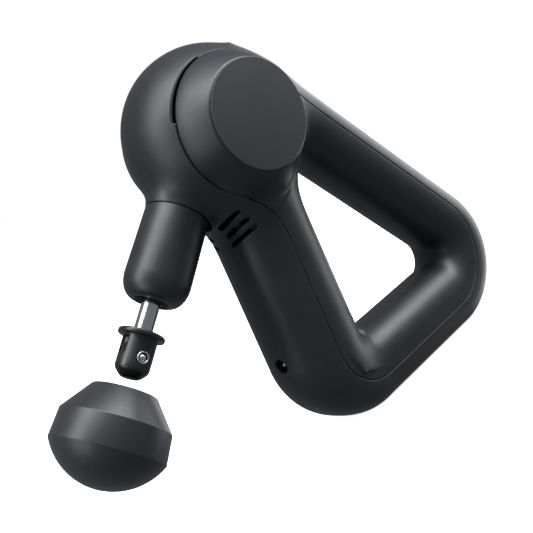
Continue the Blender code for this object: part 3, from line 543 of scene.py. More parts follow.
def shifted(start, end, distance):
    way = unit(end - start)
    side = np.array([way[1], -way[0]]) * distance
    return start + side, end + side


def crossing(a, b, c, d):
    u, v = b - a, d - c
    t = ((c[0] - a[0]) * v[1] - (c[1] - a[1]) * v[0]) / (u[0] * v[1] - u[1] * v[0])
    return a + u * t


def arc_points(before, corner, after, radius, count):
    centre, start, _, turn = bend_shape(before, corner, after, radius)
    arm = start - centre
    side = np.array([-arm[1], arm[0]])
    angles = np.linspace(0, turn, count)[:, None]
    return centre + arm * np.cos(angles) + side * np.sin(angles)


def seam_outline():
    """The covers' outline in the loop's plane, anticlockwise from the top of the head."""
    front = shifted(FRONT_TOP, FRONT_CORNER, FRONT_SEAM)
    base = shifted(FRONT_CORNER, REAR_CORNER, BASE_SEAM)
    upper = shifted(REAR_CORNER, UPPER_TOP, UPPER_SEAM)
    low, back = crossing(*front, *base), crossing(*base, *upper)
    angle = np.linspace(UPPER_START, S_START, 140)[:, None]
    circle = HEAD_XZ + SEAM_R * np.hstack([np.cos(angle), np.sin(angle)])
    way = unit(front[1] - front[0])
    a, b = circle[-1], front[0] + way * S_JOINS
    tangent = np.array([-sin(S_START), cos(S_START)])
    t = np.linspace(0, 1, 40)[1:, None]
    pull_a, pull_b = a + tangent * S_PULL, b - way * S_PULL
    curve = (1 - t) ** 3 * a + 3 * (1 - t) ** 2 * t * pull_a + 3 * (1 - t) * t ** 2 * pull_b + t ** 3 * b
    corner_low = arc_points(b, low, back, SEAM_BENDS[0], 40)
    corner_back = arc_points(low, back, upper[1], SEAM_BENDS[1], 40)
    last = back + (upper[1] - back) * 0.88
    return np.vstack([circle, curve, corner_low, corner_back, last])


OUTLINE = seam_outline()


def outline_distance(q):
    """Signed distance to the covers' outline, positive outside it."""
    a, b = OUTLINE, np.roll(OUTLINE, -1, axis=0)
    best = np.full(len(q), 1e9)
    odd = np.zeros(len(q), bool)
    for p0, p1 in zip(a, b):
        side = p1 - p0
        rel = q - p0
        t = np.clip(rel @ side / (side @ side), 0, 1)
        gap = rel - t[:, None] * side
        best = np.minimum(best, (gap ** 2).sum(1))
        above = (p0[1] > q[:, 1]) != (p1[1] > q[:, 1])
        if above.any():
            x = p0[0] + (q[above, 1] - p0[1]) / (p1[1] - p0[1]) * side[0]
            odd[above] ^= q[above, 0] < x
    return np.sqrt(best) * np.where(odd, -1, 1)


def smooth_step(low, high, value):
    t = np.clip((value - low) / (high - low), 0, 1)
    return t * t * (3 - 2 * t)


def head_angle(p):
    """Angle round the head, from 0 to 2 pi."""
    return np.arctan2(p[:, 2] - HEAD[2], p[:, 0] - HEAD[0]) % (2 * pi)


def seam_cut(p):
    """Positive on the centre housing, negative on the covers."""
    angle = head_angle(p)
    round_head = smooth_step(UPPER_START, UPPER_START + 0.35, angle)
    round_head *= 1 - smooth_step(S_START - 0.35, S_START, angle)
    return outline_distance(p[:, [0, 2]]) + round_head * (SEAM_Y - np.abs(p[:, 1]))


def side_cut(p):
    return p[:, 1]


def cap_cut(p):
    return head_radius(p) - (CAP_R - 1.6)


def neck_cut(p):
    along, off = off_arm(p)
    return np.maximum(NECK_END + SEAM_GAP / 2 - along, off - NECK_CUT_R)


def rounded_box(u, v, half_u, half_v, corner):
    du = np.abs(u) - half_u + corner
    dv = np.abs(v) - half_v + corner
    out = np.hypot(np.maximum(du, 0), np.maximum(dv, 0))
    return out + np.minimum(np.maximum(du, dv), 0) - corner


VENT_SLOTS = (32.2, 36.1, 40.0)  # distances down the front limb
VENT_WIDTH = 1.75
VENT_INNER = 4.6
VENT_SLANT = 4.0  # how much further down each slot's inner end lies
VENT_OUTER = 16.2


def vent_cut(p):
    """Negative inside the three slots on each side of the front limb."""
    s, n = run_coordinates(p[:, [0, 2]], FRONT_TOP, FRONT_CORNER)
    across = np.abs(p[:, 1]) - (VENT_INNER + VENT_OUTER) / 2
    s = s + VENT_SLANT * across / (VENT_OUTER - VENT_INNER)
    half = VENT_WIDTH / 2 - SEAM_GAP / 2
    best = np.full(len(p), 1e9)
    for slot in VENT_SLOTS:
        best = np.minimum(best, rounded_box(s - slot, across, half, (VENT_OUTER - VENT_INNER) / 2, half))
    return np.where(n > 0, best, 9.0)


ARC_SLOT = (radians(96), radians(156))
ARC_R = 29.0  # where its length is measured
ARC_HALF = 1.155  # its reach from the seam, across the barrel


def arc_slot_cut(p):
    """Negative inside the slots beside the cover seams, over the front of the head."""
    middle = (ARC_SLOT[0] + ARC_SLOT[1]) / 2
    half = (ARC_SLOT[1] - ARC_SLOT[0]) / 2
    u = (head_angle(p) - middle) * ARC_R
    v = np.abs(p[:, 1]) - SEAM_Y
    return rounded_box(u, v, half * ARC_R, ARC_HALF, 0.5)


PORT_ALONG = 94.0
PORT_ACROSS = -2.0
PORT_R = 3.1


def port_cut(p):
    s, n = run_coordinates(p[:, [0, 2]], FRONT_TOP, FRONT_CORNER)
    across = p[:, 1] - PORT_ACROSS
    return np.where(n > 0, np.hypot(s - PORT_ALONG, across) - PORT_R + SEAM_GAP / 2, 9.0)


PANEL_ALONG = 12.0  # from the top of the upper limb to the panel's middle
PANEL_HALF = (11.5, 8.5)
PANEL_RAISE = 1.5
PANEL_CORNER = 5.5


def panel_coordinates(p):
    s, n = run_coordinates(p[:, [0, 2]], UPPER_TOP, REAR_CORNER)
    return s - PANEL_ALONG, p[:, 1], -n


def panel_distance(p):
    """Signed distance to the panel's outline, negative inside it."""
    along, across, out = panel_coordinates(p)
    inside = rounded_box(along, across, PANEL_HALF[0], PANEL_HALF[1], PANEL_CORNER)
    return np.where(out > 0, inside, 9.0)


BUTTON_R = 3.0
BUTTONS = {"speed_up_button": -7.4, "power_button": 0.0, "speed_down_button": 7.4}
LIGHT_ACROSS = -5.6
LIGHT_HALF = (8.0, 0.7)


def panel_holes(p):
    along, across, _ = panel_coordinates(p)
    best = rounded_box(along, across - LIGHT_ACROSS, LIGHT_HALF[0] + 0.1, LIGHT_HALF[1] + 0.1, 0.3)
    for place in BUTTONS.values():
        best = np.minimum(best, np.hypot(along - place, across) - BUTTON_R - 0.15)
    return best


def panel_lift(points):
    """The panel's crowned pad, standing proud of the limb."""
    inside = np.clip(-panel_distance(points), 0, None)
    rise = PANEL_RAISE * smooth_step(0, 3.6, inside + 0.5)
    return units(gradient(body_field, points)) * rise[:, None]


def moulded_skins():
    """The body's skin, parted into the housing, the panel and the two covers."""
    low = np.array([CAP_LOW[0] - 62, -36.0, -3.0])
    high = np.array([REAR_CORNER[0] + 24, 36.0, HEAD[2] + BARREL_R + 4])
    points, quads = surface_net(body_field, low, high, GRID)
    points = onto(body_field, points, 5)
    points = relaxed(body_field, points, quads, 3)
    tris = triangles(quads, points)
    points, housing, covers = split(body_field, points, tris, seam_cut)
    skins = {}
    skin = compact(points, housing)
    for cut in (neck_cut, vent_cut, arc_slot_cut, port_cut):
        made, keep, _ = split(body_field, *skin, cut)
        skin = compact(made, keep)
    made, keep, inner = split(body_field, *skin, panel_distance)
    skins["centre_housing"] = compact(made, keep)
    skin = compact(made, inner)
    made, keep, _ = split(body_field, *skin, panel_holes)
    skins["control_panel"] = compact(made, keep)
    made, left, right = split(body_field, *compact(points, covers), side_cut)
    for name, half in (("left_side_cover", left), ("right_side_cover", right)):
        spots, keep, _ = split(body_field, *compact(made, half), cap_cut)
        skins[name] = compact(spots, keep)
    return skins


# ---- turned and swept pieces

def place_matrix(origin, z_axis, x_axis):
    z = unit(np.array(z_axis, float))
    x = np.array(x_axis, float)
    x = unit(x - (x @ z) * z)
    made = np.eye(4)
    made[:3, 0], made[:3, 1], made[:3, 2], made[:3, 3] = x, np.cross(z, x), z, origin
    return made


ON_ARM = place_matrix(ARM_START, ARM, DOWN)


def filleted(profile, radii):
    """An outline with its corners rounded. A corner's radius is 0 where radii doesn't name it."""
    made = []
    count = len(profile)
    for k, corner in enumerate(profile):
        corner = np.array(corner, float)
        radius = radii.get(k, 0)
        before = np.array(profile[(k - 1) % count], float) - corner
        after = np.array(profile[(k + 1) % count], float) - corner
        a, b = norm(before), norm(after)
        if not radius or a < 1e-6 or b < 1e-6:
            made.append(corner)
            continue
        u, v = before / a, after / b
        half = acos(np.clip(u @ v, -1, 1)) / 2
        reach = min(radius / tan(half), a * 0.49, b * 0.49)
        radius = reach * tan(half)
        centre = corner + unit(u + v) * radius / sin(half)
        start, end = corner + u * reach - centre, corner + v * reach - centre
        turn = pi - 2 * half
        steps = max(2, int(turn / 0.22))
        for j in range(steps + 1):
            t = j / steps
            spot = start * sin((1 - t) * turn) + end * sin(t * turn)
            made.append(centre + spot / sin(turn))
    return np.array(made)


def revolve(profile, place, steps):
    """Points and faces of a profile (radius, height) turned round its axis."""
    points, rings = [], []
    for r, h in profile:
        if r < 1e-6:
            rings.append([len(points)])
            points.append((0, 0, h))
            continue
        rings.append(list(range(len(points), len(points) + steps)))
        for k in range(steps):
            angle = 2 * pi * k / steps
            points.append((r * cos(angle), r * sin(angle), h))
    faces = []
    for a, b in zip(rings, rings[1:] + rings[:1]):
        for k in range(steps if len(a) + len(b) > 2 else 0):
            j = (k + 1) % steps
            corners = (a[k % len(a)], a[j % len(a)], b[j % len(b)], b[k % len(b)])
            faces.append(tuple(dict.fromkeys(corners)))
    points = np.array(points) @ place[:3, :3].T + place[:3, 3]
    return points, faces


def face_out(mesh):
    """All faces of a closed mesh turned to point out of it."""
    work = bmesh.new()
    work.from_mesh(mesh)
    bmesh.ops.recalc_face_normals(work, faces=work.faces[:])
    if work.calc_volume(signed=True) < 0:
        bmesh.ops.reverse_faces(work, faces=work.faces[:])
    work.to_mesh(mesh)
    work.free()


def outward(obj):
    """Faces made to point outwards, and edges sharper than 35 degrees kept crisp."""
    face_out(obj.data)
    obj.data.set_sharp_from_angle(angle=radians(35))


def turned(name, profile, place, node, slot, steps):
    """A profile turned round its axis, in place of a CAD node."""
    points, faces = revolve(profile, place, steps)
    made = mesh_object(name, points, faces, node, slot)
    outward(made)
    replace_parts(made, node)
    return made


# ---- materials

def nodes_of(name):
    made = bpy.data.materials.new(name)
    made.use_nodes = True
    tree = made.node_tree
    tree.nodes.clear()
    out = tree.nodes.new("ShaderNodeOutputMaterial")
    shader = tree.nodes.new("ShaderNodeBsdfPrincipled")
    tree.links.new(shader.outputs["BSDF"], out.inputs["Surface"])
    return made, tree, shader


def texture(tree, kind, scale, stretch=(1, 1, 1)):
    """A procedural texture in the object's own coordinates, with its scale in cycles a metre."""
    place = tree.nodes.new("ShaderNodeTexCoord")
    mapping = tree.nodes.new("ShaderNodeMapping")
    mapping.inputs["Scale"].default_value = stretch
    tree.links.new(place.outputs["Object"], mapping.inputs["Vector"])
    node = tree.nodes.new(kind)
    tree.links.new(mapping.outputs["Vector"], node.inputs["Vector"])
    node.inputs["Scale"].default_value = scale
    return node


def noise(tree, scale, detail, rough=0.5, stretch=(1, 1, 1)):
    node = texture(tree, "ShaderNodeTexNoise", scale, stretch)
    node.inputs["Detail"].default_value = detail
    node.inputs["Roughness"].default_value = rough
    return node.outputs["Fac"]


def cell_noise(tree, scale, distance="EUCLIDEAN"):
    node = texture(tree, "ShaderNodeTexVoronoi", scale)
    node.distance = distance
    return node.outputs["Distance"]


def ranged(tree, source, low, high, low_in=0.0, high_in=1.0):
    """A value taken from one range to another."""
    node = tree.nodes.new("ShaderNodeMapRange")
    for key, value in (("From Min", low_in), ("From Max", high_in), ("To Min", low), ("To Max", high)):
        node.inputs[key].default_value = value
    tree.links.new(source, node.inputs["Value"])
    return node.outputs["Result"]


def coloured(tree, shader, share, a, b):
    """Base colour between two colours, by a share from 0 to 1."""
    node = tree.nodes.new("ShaderNodeMix")
    node.data_type = "RGBA"
    node.inputs["A"].default_value = (*a, 1)
    node.inputs["B"].default_value = (*b, 1)
    tree.links.new(share, node.inputs["Factor"])
    tree.links.new(node.outputs["Result"], shader.inputs["Base Color"])


def about(colour, spread):
    """The darker and the lighter end of a colour's range."""
    return [tuple(min(1.0, c * (1 + way * spread)) for c in colour) for way in (-1, 1)]


def roughened(tree, shader, source, *limits):
    tree.links.new(ranged(tree, source, *limits), shader.inputs["Roughness"])


def bumped(tree, shader, *heights):
    """Bump from several (height socket, strength, depth in metres) layers."""
    last = None
    for height, strength, depth in heights:
        node = tree.nodes.new("ShaderNodeBump")
        node.inputs["Strength"].default_value = strength
        node.inputs["Distance"].default_value = depth
        tree.links.new(height, node.inputs["Height"])
        if last:
            tree.links.new(last, node.inputs["Normal"])
        last = node.outputs["Normal"]
    tree.links.new(last, shader.inputs["Normal"])


def moulded(name, colour, rough, grain=0.25, scale=1400.0, spread=0.18):
    """Satin moulded plastic: spark-eroded grain, faint flow clouds and handling marks."""
    made, tree, shader = nodes_of(name)
    cloud = ranged(tree, noise(tree, 38.0, 4.0, 0.6), 0, 1, 0.3, 0.7)
    coloured(tree, shader, cloud, *about(colour, spread))
    patch = noise(tree, 120.0, 5.0, 0.7)
    roughened(tree, shader, patch, rough - 0.035, rough + 0.035, 0.3, 0.7)
    fine, pores = noise(tree, scale, 3.0, 0.65), cell_noise(tree, scale * 0.8)
    bumped(tree, shader, (fine, grain, 0.00008), (pores, grain * 0.5, 0.00005))
    return made


def metal(name, colour, rough, stretch=(1, 1, 1), scale=900.0, mark=0.12, spread=0.1):
    """Machined or plated metal: fine tool marks along one way, and uneven polish."""
    made, tree, shader = nodes_of(name)
    smear = noise(tree, 160.0, 3.0)
    coloured(tree, shader, smear, *about(colour, spread))
    roughened(tree, shader, smear, rough * 0.7, rough * 1.4, 0.3, 0.7)
    shader.inputs["Metallic"].default_value = 1.0
    bumped(tree, shader, (noise(tree, scale, 5.0, 0.7, stretch), mark, 0.00004))
    return made


def foam_skin(name):
    """Closed-cell foam with a rubbery skin: soft sheen, small pores and slight swirls."""
    made, tree, shader = nodes_of(name)
    cloud = ranged(tree, noise(tree, 60.0, 5.0, 0.65), 0, 1, 0.3, 0.7)
    coloured(tree, shader, cloud, (0.0105, 0.0107, 0.0125), (0.0145, 0.0148, 0.0170))
    fine = noise(tree, 2600.0, 4.0, 0.7)
    roughened(tree, shader, fine, 0.36, 0.44, 0.3, 0.7)
    shader.inputs["Sheen Weight"].default_value = 0.04
    shader.inputs["Sheen Roughness"].default_value = 0.5
    bumped(tree, shader, (cell_noise(tree, 1500.0), 0.10, 0.00008), (fine, 0.12, 0.00006))
    return made


def lacquered_board(name):
    """Green solder mask over copper tracks."""
    made, tree, shader = nodes_of(name)
    tracks = ranged(tree, cell_noise(tree, 420.0, "MANHATTAN"), 0, 1, 0.2, 0.35)
    coloured(tree, shader, tracks, (0.02, 0.20, 0.08), (0.015, 0.11, 0.045))
    roughened(tree, shader, tracks, 0.25, 0.4)
    bumped(tree, shader, (tracks, 0.3, 0.00006))
    return made


def light_pipe(name):
    """Translucent light pipe with a cloudy body."""
    made, tree, shader = nodes_of(name)
    cloud = noise(tree, 700.0, 3.0)
    coloured(tree, shader, cloud, (0.62, 0.68, 0.74), (0.80, 0.84, 0.88))
    roughened(tree, shader, cloud, 0.22, 0.36)
    shader.inputs["Subsurface Weight"].default_value = 0.2
    bumped(tree, shader, (cloud, 0.1, 0.00004))
    return made


SHELL_COLOUR = (0.0105, 0.0107, 0.0125)

FINISH = {
    "housing": moulded("housing_satin", SHELL_COLOUR, 0.43, grain=0.10),
    "cover": moulded("cover_satin", SHELL_COLOUR, 0.43, grain=0.10),
    "cap": moulded("cap_matte", (0.024, 0.0235, 0.027), 0.55, grain=0.35, scale=2200.0),
    "sleeve": moulded("sleeve_satin", SHELL_COLOUR, 0.41, grain=0.08),
    "black": moulded("black_satin", (0.0075, 0.0075, 0.0085), 0.34, grain=0.12, spread=0.12),
    "rubber": moulded("rubber_matte", (0.012, 0.012, 0.013), 0.58, grain=0.4, scale=2600.0),
    "chrome": metal("chrome_plated", (0.60, 0.60, 0.62), 0.15, (1, 1, 8), mark=0.04, spread=0.03),
    "steel": metal("steel_machined", (0.56, 0.57, 0.58), 0.26, (1, 6, 1), mark=0.2),
    "aluminium": metal("aluminium_machined", (0.66, 0.67, 0.69), 0.34, (1, 5, 1), mark=0.25),
    "copper": metal("copper_winding", (0.70, 0.34, 0.16), 0.30, (1, 22, 1), scale=220.0, mark=0.6),
    "bronze": metal("bronze_sintered", (0.56, 0.40, 0.21), 0.42, scale=2400.0, mark=0.4),
    "board": lacquered_board("board_lacquered"),
    "foam": foam_skin("foam_skinned"),
    "light": light_pipe("light_pipe_frosted"),
    "wrap": moulded("cell_wrap_film", (0.018, 0.020, 0.028), 0.34, grain=0.05, scale=500.0),
    "lead": moulded("lead_insulation", (0.40, 0.03, 0.03), 0.42, grain=0.2, scale=900.0),
}


def slot_finishes():
    """The CAD nodes that stay visible take their finishes from the record's slots."""
    for obj in frame["nodes"].values():
        for each in obj.material_slots:
            each.material = FINISH[each.material.name.split(".")[0]]


slot_finishes()
BODY_OF = {node: obj["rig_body"] for node, obj in frame["nodes"].items()}


# ---- the moulded shells

SHELL_SLOTS = {"centre_housing": "housing", "control_panel": "black",
               "left_side_cover": "cover", "right_side_cover": "cover"}


def add_shells():
    for name, skin in moulded_skins().items():
        lift = panel_lift if name == "control_panel" else None
        points, faces = walled(body_field, *skin, lift=lift)
        made = mesh_object(name + "_shell", points, faces, name, SHELL_SLOTS[name])
        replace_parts(made, name)


add_shells()


# ---- slot ribs, end caps and sleeve

RIB_INSET = 1.3  # from the seam, towards the middle of the barrel
RIB_SINK = 0.5
RIB_HALF = (0.5, 0.38)  # half sizes of its oval section, outwards and along the barrel
RIB_LEAN = (0.79, 0.61)
RIB_SHORT = 0.012  # radians of the slot left free at each end
RIB_STEPS, RIB_ROUND = 72, 12


def add_slot_ribs():
    """A thin rib along each slot beside the cover seams."""
    along_y = SEAM_Y - RIB_INSET
    r = barrel_radius(along_y / SEAM_Y) - RIB_SINK
    for side, name in ((1, "left"), (-1, "right")):
        points, faces = [], []
        for j in range(RIB_STEPS + 1):
            angle = lerp(ARC_SLOT[0] + RIB_SHORT, ARC_SLOT[1] - RIB_SHORT, j / RIB_STEPS)
            radial = np.array([cos(angle), 0, sin(angle)])
            centre = HEAD + radial * r + side * ACROSS * along_y
            out = unit(radial * RIB_LEAN[0] + side * ACROSS * RIB_LEAN[1])
            flat = np.cross(out, np.cross(radial, side * ACROSS))
            for k in range(RIB_ROUND):
                a = 2 * pi * k / RIB_ROUND
                points.append(centre + out * RIB_HALF[0] * sin(a) + flat * RIB_HALF[1] * cos(a))
        for j in range(RIB_STEPS):
            here, there = j * RIB_ROUND, (j + 1) * RIB_ROUND
            for k in range(RIB_ROUND):
                m = (k + 1) % RIB_ROUND
                faces.append((here + k, here + m, there + m, there + k))
        faces.append(tuple(range(RIB_ROUND)))
        faces.append(tuple(RIB_STEPS * RIB_ROUND + k for k in range(RIB_ROUND)))
        outward(mesh_object(f"{name}_slot_rib", np.array(points), faces, "centre_housing", "housing"))


CAP_BACK = 31.2  # the end caps' inner face
CAP_STEP = 2.0  # width of the rim that rests on the cover


def add_end_caps():
    """Softly rimmed discs, set in the covers' bosses."""
    under = BAND_TOP - 0.05
    profile = [(0, HALF_WIDTH), (CAP_R, HALF_WIDTH), (CAP_R, under), (CAP_R - CAP_STEP, under)]
    profile += [(CAP_R - CAP_STEP, CAP_BACK), (0, CAP_BACK)]
    profile = filleted(profile, {1: 0.28})
    for side, name in ((1, "left_end_cap"), (-1, "right_end_cap")):
        turned(name + "_disc", profile, place_matrix(HEAD, side * ACROSS, (1, 0, 0)), name, "cap", 144)


SLEEVE_R = 12.65
SLEEVE_BORE = 8.4
SLEEVE_PLUG = (9.6, 28.0)  # radius and end of the part inside the neck
SLEEVE_NOSE = (5.5, 8.8)  # the rounded end's reach, inwards and along the arm
SLEEVE_MOUTH = [(4.9, 6.5), (4.9, 3.6), (6.3, 0.6), (6.9, 0)]  # radius, and depth from the end


def add_sleeve():
    """The arm's sleeve: fine joint at the neck, strongly rounded end and a funnel mouth."""
    profile = [(r, SLEEVE_END - depth) for r, depth in SLEEVE_MOUTH]
    for k in range(1, 17):
        angle = pi / 2 * k / 16
        profile.append((SLEEVE_R - SLEEVE_NOSE[0] * (1 - sin(angle)),
                        SLEEVE_END - SLEEVE_NOSE[1] * (1 - cos(angle))))
    profile += [(NECK_R + 0.02, NECK_END + 0.14), (SLEEVE_PLUG[0], NECK_END + 0.14), SLEEVE_PLUG]
    profile += [(SLEEVE_BORE, SLEEVE_PLUG[1]), (SLEEVE_BORE, SLEEVE_END - SLEEVE_MOUTH[0][1])]
    profile = filleted(profile, {2: 0.8, 3: 0.3, 20: 0.25})
    turned("arm_sleeve_tube", profile, ON_ARM, "arm_sleeve", "sleeve", 144)


add_slot_ribs()
add_end_caps()
add_sleeve()


# ---- shaft end, connector and detent

def solid(name, field, centre, reach, step, node, slot):
    """A closed piece meshed from its own distance field, in place of a CAD node."""
    points, quads = surface_net(field, centre - reach, centre + reach, step)
    points = onto(field, points, 5, 0.2)
    points = relaxed(field, points, quads, 2)
    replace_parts(mesh_object(name, points, triangles(quads, points), node, slot), node)


def arm_coordinates(p):
    rel = p - ARM_START
    return rel @ ARM, rel @ DOWN, rel[:, 1]


FLANGE_R = 8.7
FLANGE_HALF = 0.95  # half its thickness
NOSE = 3.0  # chamfer of the connector's tip
FLATS_AT = 5.6  # middle of the flats, past the flange's near face
FLATS_APART = 4.8  # their distance from the axis
FLATS_HALF = (3.0, 2.5)  # half sizes, along and across
POCKET_R = 2.4
POCKET_FLOOR = 3.4  # past the axis


def connector_field(p):
    """Barrel with a chamfered nose, a thin flange, two flats and the detent's pocket."""
    along, u, v = arm_coordinates(p)
    r = np.hypot(u, v)
    barrel = smooth_max(r - CONNECTOR_R, FLANGE_AT + 0.5 - along, 0.2)
    barrel = smooth_max(barrel, (r + along - CONNECTOR_R - CONNECTOR_TIP + NOSE) / sqrt(2), 1.4)
    barrel = smooth_max(barrel, along - CONNECTOR_TIP, 1.4)
    flange = smooth_max(np.abs(along - FLANGE_AT - FLANGE_HALF) - FLANGE_HALF, r - FLANGE_R, 1.1)
    form = smooth_min(barrel, flange, 0.8)
    middle = np.abs(along - FLANGE_AT - FLATS_AT)
    flat = np.maximum(FLATS_APART - np.abs(u), np.abs(v) - FLATS_HALF[1])
    form = smooth_max(form, -np.maximum(flat, middle - FLATS_HALF[0]), 0.5)
    pocket = np.maximum(np.hypot(u, along - BALL_AT) - POCKET_R, v - POCKET_FLOOR)
    return smooth_max(form, -pocket, 0.35)


RING_R = (1.72, 2.3)  # the detent ring's bore and outside
RING_PROUD = 0.12
RING_DEPTH = 3.2
BALL_R = 1.45
BALL_SINK = 1.05  # from the barrel's surface down to the ball's centre


def add_detent():
    """The chrome ring and its sprung ball, facing the right side."""
    place = place_matrix(ARM_START + BALL_AT * ARM, -ACROSS, ARM)
    top, bottom = CONNECTOR_R + RING_PROUD, CONNECTOR_R - RING_DEPTH
    ring = [(RING_R[0], top), (RING_R[1], top), (RING_R[1], bottom), (RING_R[0], bottom)]
    ring = filleted(ring, {0: 0.16, 1: 0.22})
    turned("detent_ring_plated", ring, place, "detent_ring", "chrome", 64)
    centre = CONNECTOR_R - BALL_SINK
    ball = [(0, centre + BALL_R)]
    for a in np.linspace(pi / 2, -pi / 2, 25)[1:-1]:
        ball.append((BALL_R * cos(a), centre + BALL_R * sin(a)))
    ball.append((0, centre - BALL_R))
    turned("detent_ball_polished", ball, place, "detent_ball", "chrome", 48)


WRIST = ((sum(box_mm("wrist_pin")) / 2) - ARM_START) @ ARM  # along the arm
FORK_R = 5.8
FORK_SLOT = 2.7  # half the width of the slot for the rod
FORK_ENDS = (-4.0, 7.0)  # from the wrist pin
PIN_HOLE_R = 1.8
STEM_SOCKET = 6.5  # how far the shaft reaches into the connector


def shaft_field(p):
    """The round shaft, swelling into the fork that holds the rod's small end."""
    along, u, v = arm_coordinates(p)
    r = np.hypot(u, v)
    stem = smooth_max(r - SHAFT_R, along - FLANGE_AT - STEM_SOCKET, 0.3)
    stem = np.maximum(stem, WRIST + 3.0 - along)
    middle, half = (FORK_ENDS[0] + FORK_ENDS[1]) / 2, (FORK_ENDS[1] - FORK_ENDS[0]) / 2
    fork = smooth_max(r - FORK_R, np.abs(along - WRIST - middle) - half, 0.8)
    form = smooth_min(stem, fork, 3.0)
    slot = np.maximum(np.abs(v) - FORK_SLOT, along - WRIST - 4.5)
    form = smooth_max(form, -slot, 0.3)
    return smooth_max(form, PIN_HOLE_R - np.hypot(u, along - WRIST), 0.2)


solid("connector_barrel", connector_field, ARM_START + (FLANGE_AT + 8.5) * ARM, 14.0, 0.24,
      "attachment_connector", "black")
add_detent()
solid("percussion_rod", shaft_field, ARM_START + (WRIST + FLANGE_AT + 2) / 2 * ARM,
      np.abs(ARM) * (FLANGE_AT + 12 - WRIST) / 2 + 7.0, 0.4, "percussion_shaft", "chrome")


# ---- dampener

DAMPENER_TOP = (105.1, 11.8)  # distance along the arm, and radius
SHOULDER = (116.2, 20.3)
RIM = (126.8, 21.1)
DAMPENER_TIP = 140.0
FOAM_BORE = (9.3, 25.6)  # radius and depth
CORE = (9.0, 25.3)
SOCKET = (6.9, 23)


def add_dampener():
    """Foam head: chamfered collar, two conical bands and a domed end, round a hard socket core."""
    top = DAMPENER_TOP[0]
    profile = [(FOAM_BORE[0], top + 2), (FOAM_BORE[0], top), DAMPENER_TOP[::-1], SHOULDER[::-1], RIM[::-1]]
    spread = 2 * atan((DAMPENER_TIP - RIM[0]) / RIM[1])
    ball = RIM[1] / sin(spread)
    for k in range(1, 31):
        angle = spread * (1 - k / 30)
        profile.append((ball * sin(angle), DAMPENER_TIP - ball * (1 - cos(angle))))
    profile += [(0, top + FOAM_BORE[1]), (FOAM_BORE[0], top + FOAM_BORE[1])]
    profile = filleted(profile, {1: 0.4, 2: 1.0, 3: 0.6, 4: 0.5})
    made = turned("dampener_foam_head", profile, ON_ARM, "dampener_foam", "foam", 160)
    core = [(0, top + CORE[1]), (CORE[0], top + CORE[1]), (CORE[0], top + 0.1)]
    core += [(SOCKET[0], top + 0.1), (SOCKET[0], top + SOCKET[1]), (0, top + SOCKET[1])]
    core = filleted(core, {2: 0.5, 3: 0.7})
    turned("dampener_socket", core, ON_ARM, "dampener_core", "black", 96)


add_dampener()


# ---- keys

def block_mesh(name, place, half, edge):
    """A block's mesh with softened edges, from its half sizes in millimetres."""
    work = bmesh.new()
    bmesh.ops.create_cube(work, size=2)
    for vert in work.verts:
        vert.co = Vector((place[:3, :3] @ (np.array(vert.co) * np.array(half)) + place[:3, 3]) * MM)
    bmesh.ops.bevel(work, geom=work.edges[:], offset=edge * MM, segments=3, affect="EDGES")
    mesh = bpy.data.meshes.new(name)
    work.to_mesh(mesh)
    work.free()
    face_out(mesh)
    return mesh


def on_panel(along):
    """A place on the upper limb's outer face, with Z pointing out of the loop."""
    way = unit(REAR_CORNER - UPPER_TOP)
    out = np.array([-way[1], way[0]])
    spot = UPPER_TOP + way * along + out * UPPER_SIZE[0]
    return place_matrix((spot[0], 0.0, spot[1]), (out[0], 0, out[1]), (way[0], 0, way[1]))


MARK = (1.0, 0.16, 0.12)  # half sizes of a stroke
KEY_MARKS = {"speed_up_button": [MARK, (MARK[1], MARK[0], MARK[2])],
             "power_button": [(0.3, 0.3, MARK[2])],
             "speed_down_button": [(MARK[1], MARK[0], MARK[2])]}
MARK_AT = 2.3  # height over the limb's face
KEY_TOP = 2.35
KEY_FOOT = -3.4


def add_buttons():
    """Domed rubber keys with small plus, dot and minus marks."""
    profile = [(0, KEY_TOP), (2.2, 2.2), (BUTTON_R, 1.6), (BUTTON_R, KEY_FOOT), (0, KEY_FOOT)]
    profile = filleted(profile, {1: 1.2, 2: 0.5})
    for name, along in BUTTONS.items():
        place = on_panel(PANEL_ALONG + along)
        turned(name + "_key", profile, place, name, "rubber", 64)
        place[:3, 3] += place[:3, 2] * MARK_AT
        for k, half in enumerate(KEY_MARKS[name]):
            placed(block_mesh(f"{name}_mark_{k}", place, half, 0.05), name, "light")


add_buttons()


# ---- floor, light and camera

def studio():
    """White behind the object, and a dim bluish light from all round."""
    scene = bpy.context.scene
    scene.view_settings.view_transform = "Standard"
    world = bpy.data.worlds.new("studio")
    scene.world = world
    world.use_nodes = True
    tree = world.node_tree
    tree.nodes.clear()
    out = tree.nodes.new("ShaderNodeOutputWorld")
    path = tree.nodes.new("ShaderNodeLightPath")
    mix = tree.nodes.new("ShaderNodeMixShader")
    tree.links.new(path.outputs["Is Camera Ray"], mix.inputs["Fac"])
    for k, (colour, strength) in enumerate((((0.86, 0.90, 1.0, 1), 0.25), ((1, 1, 1, 1), 1.0))):
        node = tree.nodes.new("ShaderNodeBackground")
        node.inputs["Color"].default_value = colour
        node.inputs["Strength"].default_value = strength
        tree.links.new(node.outputs["Background"], mix.inputs[k + 1])
    tree.links.new(mix.outputs["Shader"], out.inputs["Surface"])


def matrix(x, y, z, origin):
    rows = np.eye(4)
    rows[:3, 0], rows[:3, 1], rows[:3, 2], rows[:3, 3] = x, y, z, origin
    return Matrix(rows.tolist())


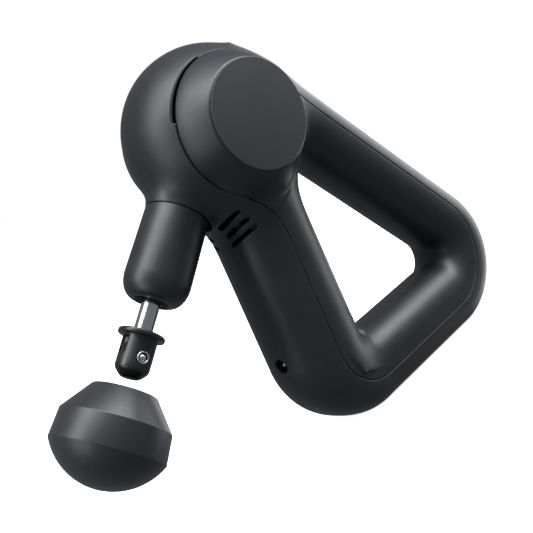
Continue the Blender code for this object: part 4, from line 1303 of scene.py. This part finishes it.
def softbox(name, spot, size, power, colour=(1, 1, 1)):
    """A rectangular light at a place given along the view's right, up and towards the viewer."""
    data = bpy.data.lights.new(name, "AREA")
    data.shape = "RECTANGLE"
    data.size, data.size_y = size
    data.energy = power
    data.color = colour
    lamp = linked(name, data)
    shift = spot[0] * RIGHT + spot[1] * UP + spot[2] * BACK
    away = unit(shift)
    side = unit(np.cross(UP, away))
    lamp.matrix_world = matrix(side, np.cross(away, side), away, MIDDLE * MM + shift)
    lamp.visible_camera = False


VIEW_ANGLES = (-34.94, 11.77, -28.48)  # azimuth, elevation and roll
VIEW_DISTANCE = 354.4
VIEW_AIM = np.array([-47.14, 0, 74.35])
SENSOR = 36


def camera():
    """The photo's view, fitted to its outlines. Gives its right, up and backward directions."""
    a, e, r = (radians(v) for v in VIEW_ANGLES)
    back = np.array([sin(a) * cos(e), -cos(a) * cos(e), sin(e)])
    right = np.array([cos(a), sin(a), 0.0])
    up = np.cross(back, right)
    x = cos(r) * right + sin(r) * up
    y = -sin(r) * right + cos(r) * up
    data = bpy.data.cameras.new("photo_view")
    data.sensor_width = SENSOR
    data.lens = 884.86 / 533 * SENSOR
    data.clip_start = 0.01
    made = linked("photo_view", data)
    made.matrix_world = matrix(x, y, back, (VIEW_AIM + VIEW_DISTANCE * back) * MM)
    bpy.context.scene.camera = made
    return x, y, back


def floor():
    """A wide pale sheet with a barely uneven matt surface."""
    steps = 24
    grid = np.linspace(-6, 6, steps + 1)
    points = [(x, y, 0.0) for x in grid for y in grid]
    corners = [i * (steps + 1) + j for i in range(steps) for j in range(steps)]
    faces = [(k, k + steps + 1, k + steps + 2, k + 1) for k in corners]
    made, tree, shader = nodes_of("floor_pale")
    cloud = noise(tree, 3.0, 3.0)
    coloured(tree, shader, cloud, (0.93, 0.93, 0.935), (0.95, 0.95, 0.955))
    roughened(tree, shader, cloud, 0.7, 0.8)
    shader.inputs["Emission Color"].default_value = (1, 1, 1, 1)
    shader.inputs["Emission Strength"].default_value = 0.90
    mesh = bpy.data.meshes.new("floor")
    mesh.from_pydata(points, [], faces)
    mesh.materials.append(made)
    piece = linked("floor", mesh)
    piece.visible_glossy = False
    piece.visible_diffuse = False


studio()
RIGHT, UP, BACK = camera()
MIDDLE = np.array([-20.0, 0, 85.0])  # the lights face this point
floor()
softbox("key", (-0.80, 0.45, 0.50), (0.36, 1.1), 9.5)
softbox("top", (0.12, 0.96, 0.25), (1.2, 0.5), 20.0, (0.95, 0.97, 1.0))
softbox("upper_left", (-0.45, 0.75, 0.55), (0.5, 0.5), 4.0, (0.92, 0.95, 1.0))
softbox("behind", (0.75, 0.35, -0.80), (1.2, 1.2), 14.0, (0.95, 0.97, 1.0))
softbox("low_left", (-0.75, -0.35, 0.62), (0.5, 0.6), 2.8, (0.92, 0.95, 1.0))
